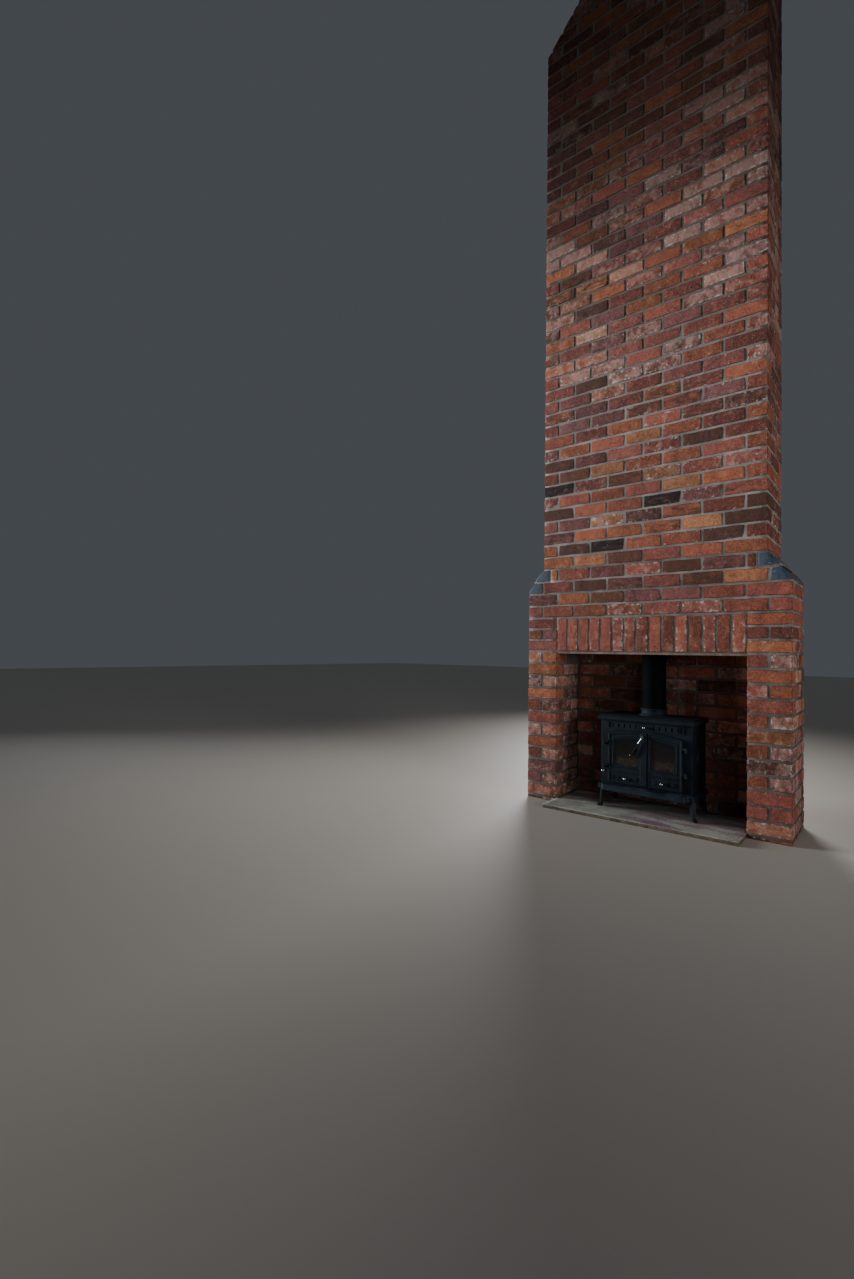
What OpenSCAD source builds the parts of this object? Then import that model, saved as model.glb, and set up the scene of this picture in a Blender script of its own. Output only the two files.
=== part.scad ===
// Brick chimney breast with a recess, a stone hearth and a double-door wood-burning stove.
// Millimetres, +Z up, +Y towards the wall. The origin is the centre of the whole footprint.

/* [Brickwork] */
// Length of one brick
brick_len = 230; // [210:1:250]
// Width of one brick, which is also a half-brick wall
brick_w = 110; // [100:1:120]
// Mortar joint
joint = 10; // [8:1:14]
// Height of a course with its bed joint
course = 87; // [75:1:95]
// Part course that shows between the floor and the first full course
foot_h = 25; // [10:1:60]
// Width of the lower breast in bricks
lower_bricks = 7; // [6:1:9]
// Full courses from the foot course to the lintel
opening_courses = 12; // [10:1:16]
// Courses between the soldiers and the shoulders
band_courses = 2; // [1:1:4]
// Depth of the breast in front of the wall
breast_d = 360; // [350:5:480]

/* [Shoulders and roof line] */
// Length of a splay brick on the front face
splay_len = 110; // [100:1:116]
// Upright nose at the foot of each splay
splay_nose = 24; // [10:1:40]
// Height of the roof line at the side edges of the shaft
eaves_z = 5450; // [3000:10:6000]
// Pitch of the roof slopes that cut the shaft
roof_pitch = 47; // [30:1:55]

/* [Hearth and lintel] */
// Thickness of the hearth slab
hearth_t = 25; // [15:1:50]
// How far the slab reaches in front of the breast
hearth_reach = 200; // [120:5:400]
// Thickness of the lintel bar
lintel_t = 15; // [10:1:30]
// Width of the lintel bar from front to back
lintel_w = 90; // [70:1:98]
// Pointing in front of the lintel bar
lintel_setback = 8; // [4:1:12]
// Length of the lintel bar that bears on each pier
lintel_bearing = 110; // [80:5:150]

/* [Register plate and flue] */
// Thickness of the register plate
plate_t = 3; // [2:0.5:6]
// Outer radius of the flue pipe
pipe_r = 75; // [60:0.5:80]
// Wall of the flue pipe
pipe_wall = 3; // [2:0.5:5]
// Pipe above the register plate, without its spigot end
pipe_above = 120; // [60:5:300]
// Length of the swaged spigot at the pipe's top
spigot_len = 50; // [30:1:80]
// How much the spigot is drawn in
spigot_step = 3.5; // [3.2:0.1:5]
// Height of the collar on the stove
collar_h = 48; // [40:1:90]
// Thickness of the collar round the pipe
collar_t = 5; // [4:0.5:8]
// Leg length of the angle brackets under the register plate
bracket_leg = 95; // [60:1:120]
// Width of the brackets along the wall
bracket_w = 186; // [120:1:220]
// Metal thickness of the brackets
bracket_t = 5; // [4:0.5:8]
// Gap between a bracket and the wall behind it
bracket_off = 7; // [4:1:20]
// Radius of the fixing holes in a bracket
bracket_hole_r = 6; // [4:0.5:8]

/* [Stove body] */
// Width of the stove's body
stove_w = 590; // [560:2:640]
// Depth of the stove's body
stove_d = 290; // [270:2:300]
// Height of the body castings
stove_h = 430; // [390:2:480]
// Stove front behind the face of the breast
stove_setback = 28; // [20:1:40]
// How far the stove stands to the right of the recess's middle
stove_shift = 11; // [0:1:20]
// Thickness of the side and back castings
wall_t = 7; // [5:0.5:10]
// Thickness of the front casting
front_t = 8; // [6:0.5:12]
// Thickness of the base plate
base_t = 38; // [26:1:44]
// How far the base plate stands out at the sides
base_lip = 12; // [4:1:16]
// How far the base plate stands out in front of the casting
base_front = 24; // [18:1:30]
// How far the ash lip stands out in front of the base
ash_reach = 40; // [34:1:60]
// Height of the legs
leg_h = 120; // [80:1:160]
// Thickness of a leg casting
leg_t = 26; // [18:1:34]
// Thickness of the top plate with its moulding
top_t = 34; // [26:1:44]
// Overhang of the top plate over the sides
top_over = 18; // [12:1:24]
// Overhang of the top plate over the front
top_front = 26; // [20:1:34]
// Distance from the front casting to the flue's centre
flue_y = 176; // [150:1:190]
// Diameter of the round relief on each side
medallion_d = 130; // [90:1:160]

/* [Fire opening and lining] */
// Border of the front casting outside the doors
door_border = 57; // [56:1:70]
// How far the doors lap over the opening
door_lap = 22; // [14:1:24]
// Sill of the front casting under the doors
door_sill = 15; // [8:1:24]
// Gap between the doors' crown and the slider's lower guide
door_clear = 5.6; // [5:0.1:12]
// Drop of the arch from the centre to the door's outer edge
arch_drop = 27; // [15:1:40]
// Thickness of the firebricks
firebrick_t = 25; // [20:1:30]
// Height of the firebricks
firebrick_h = 230; // [160:1:260]
// Thickness of the grate
grate_t = 16; // [10:1:24]
// Height of the grate above the base plate
grate_z = 44; // [30:1:60]
// Number of slots across the grate
grate_slots = 12; // [8:1:16]

/* [Doors] */
// Gap behind and between the doors
door_gap = 5; // [5:0.5:8]
// Thickness of the door plates
door_t = 12; // [10:0.5:15]
// Height of the raised mouldings
bead_h = 5; // [3:0.5:6]
// Width of the outer moulding
frame_w = 14; // [10:0.5:18]
// Width of the closing stile on the left door
stile_w = 44; // [36:1:44]
// Inset of the glass opening from the arch
glass_top = 47; // [40:1:54]
// Inset of the glass opening from the hinge edge
glass_side = 46; // [36:1:54]
// Inset of the glass opening from the stile
glass_inner = 15; // [14:0.5:20]
// Height of the glass opening's sill above the door's foot
glass_sill = 120; // [110:1:140]
// Thickness of the glass
glass_t = 4; // [3:0.5:5]
// Lap of the glass behind the door
glass_lap = 8; // [6:0.5:10]
// Height of the rail between the glass and the vents
rail_z = 70; // [66:1:76]

/* [Hinges] */
// Distance of the hinge axis outside the door's edge
hinge_out = 25; // [22:0.5:27]
// Distance of the hinge axis in front of the door's mouldings
hinge_fwd = 8; // [7:0.5:10]
// Radius of the hinge knuckles
knuckle_r = 7.5; // [6.5:0.5:8.5]
// Height of one knuckle
knuckle_h = 15; // [10:0.5:20]
// Radius of the hinge pins
hinge_pin_r = 4; // [3:0.1:4.5]
// Running clearance round pins, spindles and rods
run_gap = 0.4; // [0.2:0.05:0.6]
// Height of the lower hinge above the door's foot
hinge_low = 108; // [104:1:130]
// Depth of the upper hinge below the doors' crown
hinge_drop = 88; // [70:1:100]

/* [Handle] */
// Depth of the handle's spindle below the doors' crown
spindle_drop = 30; // [26:1:44]
// Radius of the spindle
spindle_r = 5; // [4:0.1:6]
// Radius of the handle's hub
hub_r = 10; // [8:0.5:12]
// Length of the hub in front of the stile
hub_l = 24; // [16:1:30]
// Length of the chromed shank
shank_l = 52; // [36:1:60]
// Length of the twisted grip
grip_l = 94; // [60:1:100]
// Width of the square bar that is twisted
grip_w = 12; // [9:0.5:14]
// Lean of the handle from upright, at rest
handle_lean = 32; // [10:1:36]

/* [Air controls] */
// Pitch of the upper air slots
slot_pitch = 38; // [36:0.5:40]
// Upper air slots on each side of the knob
slot_count = 5; // [3:1:5]
// Width of an air slot
slot_w = 8; // [6:0.5:12]
// Height of an upper air slot
slot_h = 26; // [20:1:34]
// Depth of the upper slider's centre below the top plate
slider_drop = 33; // [30:0.5:40]
// Height of the upper slider
slider_h = 38; // [37:1:40]
// Gap between a door's vent slider and the mouldings beside it
vent_clear = 1.6; // [1:0.1:3]
// Height of a door's air slot
vent_h = 21; // [16:1:24]
// Height of a door's vents above the door's foot
vent_z = 38; // [36:1:40]
// Height of the door's vent slider
vent_slider_h = 30; // [26:1:32]
// Thickness of the sliders
slider_t = 4; // [3:0.5:5]
// Radius of the ball knobs
knob_r = 11; // [7:0.5:11]
// Radius of the knob studs
stud_r = 3.5; // [3:0.1:4]
// Distance of the riddling rod outside the hinge axis
riddle_out = 8; // [6:0.5:10]
// Height of the riddling rod above the base plate
riddle_z = 87; // [80:1:92]
// Radius of the riddling rod
riddle_r = 4; // [3:0.1:5]
// Length of the riddling rod behind the front casting
riddle_len = 150; // [100:5:200]
// Travel of the riddling rod
riddle_travel = 40; // [20:1:50]

/* [Hidden] */
$fn = 64;
eps = 0.01;
brick_colour = "#8f4b3a";
splay_colour = "#4d525c";
stone_colour = "#8b8a85";
lintel_colour = "#a99b8c";
iron_colour = "#2b343e";
steel_colour = "#3c4146";
chrome_colour = "#c9ccd0";
firebrick_colour = "#b59a74";
glass_colour = "#6f675e";

// Brickwork levels and widths
brick_pitch = brick_len + joint;
half_lower = (lower_bricks * brick_pitch - joint) / 2;
shoulder_step = brick_pitch / 2;
half_upper = half_lower - shoulder_step;
half_open = half_lower - brick_len;
z_lintel = foot_h + opening_courses * course;
z_band = z_lintel + brick_pitch;
z_shoulder = z_band + band_courses * course;
z_splay = z_shoulder + course;
z_shaft = z_splay + course;
z_apex = eaves_z + half_upper * tan(roof_pitch);
y_face = hearth_reach / 2 - (breast_d + brick_w) / 2;
y_wall = y_face + breast_d;
y_rear = y_wall + brick_w;
half_void = half_upper - brick_w;

// Stove levels and places
z_base = hearth_t + leg_h;
z_body = z_base + base_t;
z_top = z_body + stove_h;
z_collar = z_top + top_t;
y_body = y_face + stove_setback;
y_lining = y_body + front_t;
y_stove_rear = y_body + stove_d;
y_flue = y_body + flue_y;
half_stove = stove_w / 2;
half_inner = half_stove - wall_t;
half_doors = half_stove - door_border;
fire_half_w = half_doors - door_lap;
z_plate = z_lintel;
ledge = 10;
seat_r = pipe_r + run_gap;
z_pipe = z_collar + ledge;
z_spigot = z_plate + plate_t + pipe_above;

// Lining: the side bricks stand off the castings, and the riddling rod runs in that gap
lining_gap = 30;
half_grate = half_inner - lining_gap - firebrick_t;
y_grate0 = y_lining + 4;
y_rear_brick = y_stove_rear - wall_t - firebrick_t;
z_grate = z_body + grate_z;

// Base plate and its ash lip
x_base = half_stove + base_lip;
y_base = y_body - base_front;
base_bend = 16;
lip_half = half_doors + 14;
base_round = 8;

// Door outline: a rectangle under one shallow arc that both doors share
guide_w = 5;
z_slider = z_top - slider_drop;
z_door = z_body + door_sill;
door_h = z_slider - slider_h / 2 - run_gap - guide_w - door_clear - z_door;
arch_r = (half_doors * half_doors + arch_drop * arch_drop) / (2 * arch_drop);
arch_centre = z_door + door_h - arch_r;
y_door_back = y_body - door_gap;
y_door = y_door_back - door_t;
y_bead = y_door - bead_h;
leaf_gap = door_gap + 3;
stile_right = stile_w / 2 - 3;
stile_left = stile_right - stile_w;
right_edge = stile_right + leaf_gap;
x_hinge = half_doors + hinge_out;
y_hinge = y_bead - hinge_fwd;
x_spindle = (stile_left + stile_right) / 2;
z_spindle = z_door + door_h - spindle_drop;
y_hub = y_bead - run_gap;
nut_r = 7;
nut_t = 3;
hinge_levels = [z_door + hinge_low, z_door + door_h - hinge_drop];
edge_w = 5;

// Sliders
vent_slot_w = slot_w - 1;
vent_end = 5;
vent_room = half_doors - frame_w - right_edge - edge_w - 2 * vent_clear;
vent_pitch = (vent_room - vent_slot_w - 2 * vent_end) / 4.5;
vent_half = 2 * vent_pitch + vent_slot_w / 2 + vent_end;
vent_x = right_edge + edge_w + vent_clear + vent_half;
vent_travel = vent_pitch / 2;
slider_travel = slot_pitch / 2;
y_slider = y_body - run_gap - slider_t;
y_vent = y_door - run_gap - slider_t;
z_vent = z_door + vent_z;
slot_rim = 5;
slider_half = (slot_count + 0.5) * slot_pitch + slot_w / 2 + slot_rim;
guide_half = slider_half + slider_travel + 5 * run_gap + guide_w;
washer_r = 9;
washer_t = 3;
knob_stem = 4;
x_riddle = -(x_hinge + riddle_out);
z_riddle = z_body + riddle_z;

// Points on an arc, from one angle to another
function arc(cx, cy, r, a0, a1, n = 8) = [for (i = [0:n]) [cx + r * cos(a0 + (a1 - a0) * i / n),
    cy + r * sin(a0 + (a1 - a0) * i / n)]];
function flip(pts) = [for (i = [len(pts) - 1:-1:0]) [-pts[i][0], pts[i][1]]];
function swapped(pts) = [for (p = pts) [p[1], p[0]]];

// A flat outline in X and Z, given thickness from y0 towards the wall
module upright(y0, t) {
    translate([0, y0 + t, 0])
        rotate([90, 0, 0])
            linear_extrude(height = t)
                children();
}

module block(x0, x1, y0, y1, z0, z1) {
    translate([x0, y0, z0])
        cube([x1 - x0, y1 - y0, z1 - z0]);
}

// A round bar along Y
module bar_y(x, z, r, y0, y1) {
    translate([x, y1, z])
        rotate([90, 0, 0])
            cylinder(r = r, h = y1 - y0);
}

module mirrored_x() {
    mirror([1, 0, 0])
        children();
}

// The stove and its flue are drawn about X = 0 and stand a little to the right
module at_stove() {
    translate([stove_shift, 0, 0])
        children();
}

module mirrored_at_stove() {
    translate([2 * stove_shift, 0, 0])
        mirrored_x()
            children();
}

// Brickwork
module hearth_slab() {
    color(stone_colour)
        block(-half_open, half_open, y_face - hearth_reach, y_wall, 0, hearth_t);
}

module lintel_bar() {
    color(lintel_colour)
        block(-half_open - lintel_bearing, half_open + lintel_bearing, y_face + lintel_setback,
            y_face + lintel_setback + lintel_w, z_lintel - lintel_t, z_lintel);
}

module pier() {
    color(brick_colour)
        difference() {
            block(-half_lower, -half_open, y_face, y_wall, 0, z_band);
            block(-half_open - lintel_bearing, -half_open + 1, y_face + lintel_setback,
                y_face + lintel_setback + lintel_w, z_lintel - lintel_t, z_lintel);
        }
}

module left_pier() {
    pier();
}

module right_pier() {
    mirrored_x()
        pier();
}

module soldier_course() {
    color(brick_colour)
        block(-half_open, half_open, y_face, y_face + brick_w, z_lintel, z_band);
}

module breast_band() {
    color(brick_colour)
        difference() {
            block(-half_lower, half_lower, y_face, y_wall, z_band, z_shoulder);
            block(-half_open, half_open, y_face + brick_w, y_wall + 1, z_band - 1, z_shoulder + 1);
        }
}

// Two courses of splay bricks, each with an upright nose and a slope that leads to the next
module shoulder() {
    run = shoulder_step / 2;
    outline = [[-half_lower, z_shoulder], [-half_lower + splay_len, z_shoulder],
        [-half_lower + splay_len, z_splay], [-half_lower + run + splay_len, z_splay],
        [-half_lower + run + splay_len, z_shaft], [-half_upper, z_shaft],
        [-half_lower + run, z_splay + splay_nose], [-half_lower + run, z_splay],
        [-half_lower, z_shoulder + splay_nose]];
    color(splay_colour)
        upright(y_face, breast_d)
            polygon(outline);
}

module left_shoulder() {
    shoulder();
}

module right_shoulder() {
    mirrored_x()
        shoulder();
}

// Left half of the shaft's outline: notched over the splay bricks, and cut by the roof slope
function shaft_half() = [[-half_lower + splay_len, z_shoulder], [-half_lower + splay_len, z_splay],
    [-half_lower + shoulder_step / 2 + splay_len, z_splay],
    [-half_lower + shoulder_step / 2 + splay_len, z_shaft], [-half_upper, z_shaft], [-half_upper, eaves_z]];

module shaft_front_wall() {
    left = shaft_half();
    color(brick_colour)
        upright(y_face, brick_w)
            polygon(concat(left, [[0, z_apex]], flip(left)));
}

module shaft_side_wall() {
    z_inner = eaves_z + brick_w * tan(roof_pitch);
    color(brick_colour)
        upright(y_face + brick_w, breast_d - brick_w)
            polygon(concat(shaft_half(), [[-half_void, z_inner], [-half_void, z_shoulder]]));
}

module shaft_left_wall() {
    shaft_side_wall();
}

module shaft_right_wall() {
    mirrored_x()
        shaft_side_wall();
}

module back_wall() {
    left = [[-half_lower, 0], [-half_lower, z_shoulder + splay_nose], [-half_upper, z_shaft],
        [-half_upper, eaves_z]];
    color(brick_colour)
        upright(y_wall, brick_w)
            polygon(concat(left, [[0, z_apex]], flip(left)));
}

// Flue
module register_plate() {
    color(steel_colour)
        difference() {
            block(-half_open, half_open, y_face + brick_w, y_wall, z_plate, z_plate + plate_t);
            translate([stove_shift, y_flue, z_plate - 1])
                cylinder(r = seat_r, h = plate_t + 2);
        }
}

// Angle bracket on the side of the recess, plain in front and drilled in its rear half
module plate_bracket() {
    y1 = y_wall - bracket_off;
    y0 = y1 - bracket_w;
    pitch = bracket_leg / 3;
    color(steel_colour) {
        difference() {
            block(-half_open, -half_open + bracket_t, y0, y1, z_plate - bracket_leg, z_plate);
            for (i = [1:2])
                for (k = [1:2])
                    translate([-half_open - 1, y1 - i * pitch, z_plate - k * pitch])
                        rotate([0, 90, 0])
                            cylinder(r = bracket_hole_r, h = bracket_t + 2);
        }
        block(-half_open + bracket_t - eps, -half_open + bracket_leg / 2, y0, y1,
            z_plate - bracket_t, z_plate);
    }
}

module left_plate_bracket() {
    plate_bracket();
}

module right_plate_bracket() {
    mirrored_x()
        plate_bracket();
}

module flue_pipe() {
    at_stove()
        color(iron_colour)
            translate([0, y_flue, 0])
                rotate_extrude()
                    polygon([[pipe_r - pipe_wall, z_pipe], [pipe_r, z_pipe], [pipe_r, z_spigot - 6],
                        [pipe_r - spigot_step, z_spigot], [pipe_r - spigot_step, z_spigot + spigot_len],
                        [pipe_r - spigot_step - pipe_wall, z_spigot + spigot_len],
                        [pipe_r - spigot_step - pipe_wall, z_spigot - 2],
                        [pipe_r - pipe_wall, z_spigot - 8]]);
}

module flue_collar() {
    flange = 12;
    flange_t = 6;
    outer = seat_r + collar_t;
    bore = pipe_r - pipe_wall;
    z_rim = z_collar + collar_h;
    at_stove()
        color(iron_colour)
            translate([0, y_flue, 0])
                rotate_extrude()
                    polygon(concat([[bore, z_collar], [outer + flange, z_collar],
                        [outer + flange, z_collar + flange_t], [outer + 3, z_collar + flange_t + 3],
                        [outer, z_collar + flange_t + 8], [outer, z_rim - 12], [outer + 2, z_rim - 10]],
                        arc(outer, z_rim - 5, 5, -30, 90, 5),
                        [[seat_r, z_rim], [seat_r, z_pipe], [bore, z_pipe]]));
}

// Moulded edge, from the foot of its nose up to the flat top, measured inwards from the edge
function moulding(h) = concat([[3, 0]], arc(5, 7, 5, 233, 120, 6), arc(10, h - 5, 10, 222, 182, 5),
    [[3.5, h - 4], [14, h - 4], arc(18, h - 4, 4, 180, 90, 4)[1]], arc(18, h - 4, 4, 135, 90, 3));

// Plate with its mouldings mitred at the corners, as two crossed mouldings
module moulded_plate(x1, y0, y1, z0, h) {
    side = moulding(h);
    across = concat([for (p = side) [-x1 + p[0], z0 + p[1]]],
        flip([for (p = side) [-x1 + p[0], z0 + p[1]]]));
    y_mid = (y0 + y1) / 2;
    half_y = (y1 - y0) / 2;
    along = concat([for (p = side) [-half_y + p[0], z0 + p[1]]],
        flip([for (p = side) [-half_y + p[0], z0 + p[1]]]));
    intersection() {
        upright(y0, y1 - y0)
            polygon(across);
        translate([-x1, y_mid, 0])
            rotate([90, 0, 90])
                linear_extrude(height = 2 * x1)
                    polygon(along);
    }
}

module top_plate() {
    at_stove()
        color(iron_colour)
            difference() {
                moulded_plate(half_stove + top_over, y_body - top_front, y_stove_rear + top_over / 2,
                    z_top, top_t);
                translate([0, y_flue, z_top - 1])
                    cylinder(r = pipe_r - pipe_wall, h = top_t + 2);
            }
}

// Rectangle under the shared arc, drawn in by an inset at the arch
module arched(x0, x1, z0, inset) {
    intersection() {
        translate([x0, z0])
            square([x1 - x0, door_h + z_door - z0]);
        translate([0, arch_centre])
            circle(r = arch_r - inset, $fn = 360);
    }
}

// Slots on both sides of a knob: start is the first one's distance in pitches
module slot_row(count, start, pitch, x_mid, z_mid, w, h) {
    for (side = [-1, 1])
        for (i = [0:count - 1])
            translate([x_mid + side * (start + i) * pitch - w / 2, z_mid - h / 2])
                square([w, h]);
}

// Round-ended slot that a stud slides along
module stud_slot(x_mid, z_mid, travel, toward) {
    r = stud_r + run_gap;
    x_end = x_mid + toward * travel;
    translate([min(x_mid, x_end), z_mid - r])
        square([travel, 2 * r]);
    translate([x_mid, z_mid])
        circle(r = r);
    translate([x_end, z_mid])
        circle(r = r);
}

// Fixed half of a hinge: an arm from the front casting, its knuckle and the pin that stands in it
module hinge_lug(side, z) {
    x = side * x_hinge;
    block(x - knuckle_r, x + knuckle_r, y_hinge, y_body + eps, z - knuckle_h, z);
    translate([x, y_hinge, z - knuckle_h])
        cylinder(r = knuckle_r, h = knuckle_h);
    translate([x, y_hinge, z - eps])
        cylinder(r = hinge_pin_r, h = knuckle_h + 2);
}

module stove_front() {
    guide = slider_h / 2 + run_gap;
    at_stove()
        color(iron_colour) {
            difference() {
                upright(y_body, front_t)
                    difference() {
                        translate([-half_stove, z_body])
                            square([stove_w, stove_h]);
                        arched(-fire_half_w, fire_half_w, z_door + door_lap, door_lap);
                        slot_row(slot_count, 1.5, slot_pitch, 0, z_slider, slot_w, slot_h);
                        stud_slot(0, z_slider, slider_travel, 1);
                    }
                bar_y(x_riddle, z_riddle, riddle_r + run_gap, y_body - 1, y_lining + 1);
            }
            for (side = [-1, 1])
                for (z = hinge_levels)
                    hinge_lug(side, z);
            upright(y_body - guide_w, guide_w + eps)
                difference() {
                    translate([-guide_half, z_slider - guide - guide_w])
                        square([2 * guide_half, 2 * (guide + guide_w)]);
                    translate([-guide_half + guide_w, z_slider - guide])
                        square([2 * (guide_half - guide_w), 2 * guide]);
                }
        }
}

// Side casting with a raised rim and a round relief of three rings
module side_panel() {
    rim = 22;
    relief = 5;
    r = medallion_d / 2;
    y_mid = (y_lining + y_stove_rear) / 2;
    z_mid = z_body + stove_h / 2;
    at_stove()
        color(iron_colour)
            difference() {
                union() {
                    block(-half_stove, -half_inner, y_lining, y_stove_rear, z_body, z_top);
                    translate([-half_stove + eps, y_mid, z_mid])
                        rotate([0, -90, 0])
                            rotate_extrude()
                                polygon(concat([[0, 0], [r, 0], [r, relief - 3], [r - 2, relief],
                                    [r - 7, relief], [r - 11, 1.5], [r - 20, 1.5], [r - 22, 3],
                                    [r - 26, 3], [r - 28, 1.5]], [[r / 3, 1.5]],
                                    arc(0, -r / 2, r * 0.62, 55, 90, 5)));
                }
            }
}

module stove_left_side() {
    side_panel();
}

module stove_right_side() {
    mirrored_at_stove()
        side_panel();
}

module stove_back() {
    at_stove()
        color(iron_colour)
            block(-half_inner, half_inner, y_stove_rear - wall_t, y_stove_rear, z_body, z_top);
}

// Base plate in plan: set back at the corners, with S curves out to the ash lip
function base_outline(e) = let(half = concat([[-x_base + e, y_stove_rear + base_lip - e]],
    arc(-x_base + base_round, y_base + base_round, base_round - e, 180, 270, 4),
    arc(-lip_half - 2 * base_bend, y_base - base_bend, base_bend + e, 90, 20, 5),
    arc(-lip_half, y_base - ash_reach + base_bend, base_bend - e, 200, 270, 5)))
    concat(half, flip(half));

// Its edge, as inset and height: a flattened half round under a thin rim with a rounded top
function base_edge() = let(rim = 12, rim_r = 4, swell = (base_t - rim - 2) / 2)
    concat([for (p = arc(0, 0, 1, 270, 110, 7)) [(1 + p[0]) * base_round * 0.7, swell + swell * p[1]]],
        [[base_round * 0.6, base_t - rim], [2, base_t - rim + 1]],
        arc(2 + rim_r, base_t - rim_r, rim_r, 180, 90, 4));

// Skin over rings of points, closed at both ends
module skinned(rings) {
    n = len(rings[0]);
    last = (len(rings) - 1) * n;
    polyhedron(points = [for (ring = rings) for (p = ring) p],
        faces = concat([[for (i = [0:n - 1]) i]], [[for (i = [n - 1:-1:0]) last + i]],
            [for (j = [0:n:last - 1]) for (i = [0:n - 1]) [j + i, j + n + i,
                j + n + (i + 1) % n, j + (i + 1) % n]]));
}

module base_plate() {
    at_stove()
        color(iron_colour)
            skinned([for (q = base_edge()) [for (p = base_outline(q[0])) [p[0], p[1], z_base + q[1]]]]);
}

// Points on a cubic curve
function curve(a, b, c, d, n = 8) = [for (i = [0:n]) let(t = i / n, u = 1 - t)
    u * u * u * a + 3 * u * u * t * b + 3 * u * t * t * c + t * t * t * d];

// Splayed leg: wide under the base plate, straight to a thin ankle, with a toe that turns out
function leg_outline() = concat(curve([0, leg_h], [-4, leg_h * 0.75], [-6, leg_h * 0.5], [-8, 26]),
    curve([-10, 21], [-14, 12], [-24, 12], [-27, 5], 4), [[-27, 0], [2, 0], [4, 8]],
    curve([6, 24], [14, leg_h * 0.45], [24, leg_h * 0.75], [50, leg_h]));

module leg(side, y, turn) {
    at_stove()
        color(iron_colour)
            translate([side * half_stove, y, hearth_t])
                mirror([side < 0 ? 0 : 1, 0, 0])
                    rotate([90, 0, turn])
                        translate([0, 0, -leg_t / 2])
                            linear_extrude(height = leg_t)
                                polygon(leg_outline());
}

module front_left_leg() {
    leg(-1, y_body + 14, 45);
}

module front_right_leg() {
    leg(1, y_body + 14, 45);
}

module rear_left_leg() {
    leg(-1, y_stove_rear - 18, -45);
}

module rear_right_leg() {
    leg(1, y_stove_rear - 18, -45);
}

// Firebox lining
module grate() {
    foot = 14;
    pitch = 2 * half_grate / (grate_slots + 1);
    depth = y_rear_brick - y_grate0;
    at_stove()
        color(iron_colour) {
            difference() {
                block(-half_grate, half_grate, y_grate0, y_rear_brick, z_grate, z_grate + grate_t);
                for (i = [1:grate_slots])
                    block(-half_grate + i * pitch - slot_w / 2, -half_grate + i * pitch + slot_w / 2,
                        y_grate0 + depth * 0.12, y_grate0 + depth * 0.88,
                        z_grate - 1, z_grate + grate_t + 1);
            }
            for (x = [-half_grate, half_grate - foot])
                for (y = [y_grate0, y_rear_brick - foot])
                    block(x, x + foot, y, y + foot, z_body, z_grate + eps);
        }
}

module side_brick() {
    at_stove()
        color(firebrick_colour)
            block(-half_grate - firebrick_t, -half_grate, y_lining, y_rear_brick,
                z_body, z_grate + firebrick_h);
}

module left_firebrick() {
    side_brick();
}

module right_firebrick() {
    mirrored_at_stove()
        side_brick();
}

module rear_firebrick() {
    at_stove()
        color(firebrick_colour)
            block(-half_grate - firebrick_t, half_grate + firebrick_t, y_rear_brick, y_stove_rear - wall_t,
                z_body, z_grate + firebrick_h);
}

// Throat plate that rests on the three firebricks, with an upturned front edge
module baffle_plate() {
    z0 = z_grate + firebrick_h;
    y0 = y_lining + 70;
    t = 6;
    at_stove()
        color(iron_colour)
            upright_side(half_grate + firebrick_t)
                polygon([[y0, z0], [y_stove_rear - wall_t, z0], [y_stove_rear - wall_t, z0 + t],
                    [y0 + t, z0 + t], [y0 + t, z0 + 30], [y0, z0 + 30]]);
}

// A flat outline in Y and Z, run from one side to the other
module upright_side(half) {
    translate([-half, 0, 0])
        rotate([90, 0, 90])
            linear_extrude(height = 2 * half)
                children();
}

// Quarter round of a moulding's edge: distance in from the edge, and height
function quarter(r, n = 4) = [for (i = [0:n]) [r - r * cos(90 * i / n), r * sin(90 * i / n)]];

// Outline of a strip that stands h in front of y, with rounded long edges
function strip(a0, a1, y, h) = concat([[a0, y + eps]], [for (q = quarter(h)) [a0 + q[0], y - q[1]]],
    [for (q = flip(quarter(h))) [a1 + q[0], y - q[1]]], [[a1, y + eps]]);

// Outline of a cutter that leaves rounded edges on what it cuts
function flare(a0, a1, y, h) = concat([[a0, y + 1]], [for (q = quarter(h)) [a0 - q[0], y - q[1]]],
    [[a0 - h, y - h - 1], [a1 + h, y - h - 1]], [for (q = flip(quarter(h))) [a1 - q[0], y - q[1]]],
    [[a1, y + 1]]);

// Cuts the children to a profile in X, one in Z, and one round the shared arch
module framed(profile_x, profile_z, profile_r) {
    top = arch_centre + arch_r + 20;
    intersection() {
        translate([0, 0, z_body])
            linear_extrude(height = top - z_body)
                polygon(profile_x);
        translate([-half_doors - 20, 0, 0])
            rotate([90, 0, 90])
                linear_extrude(height = 2 * half_doors + 40)
                    polygon(swapped(profile_z));
        translate([0, y_door, arch_centre])
            rotate([90, 0, 0])
                rotate_extrude($fn = 360)
                    polygon(profile_r);
    }
}

// Raised moulding round a door's field: rounded on both edges, mitred at its corners
module raised_frame(x0, x1, z0, inset, w, w0, w1, h) {
    top = arch_centre + arch_r + 20;
    r = arch_r - inset;
    difference() {
        framed(strip(x0, x1, y_door, h), strip(z0, 2 * top - z0, y_door, h),
            concat([[0, -eps], [r, -eps]], [for (q = quarter(h)) [r - q[0], q[1]]], [[0, h]]));
        framed(flare(x0 + w0, x1 - w1, y_door, h), flare(z0 + w, 2 * top - z0, y_door, h),
            concat([[0, -1], [r - w, -1]], [for (q = quarter(h)) [r - w + q[0], q[1]]],
                [[r - w + h, h + 1], [0, h + 1]]));
    }
}

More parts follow.
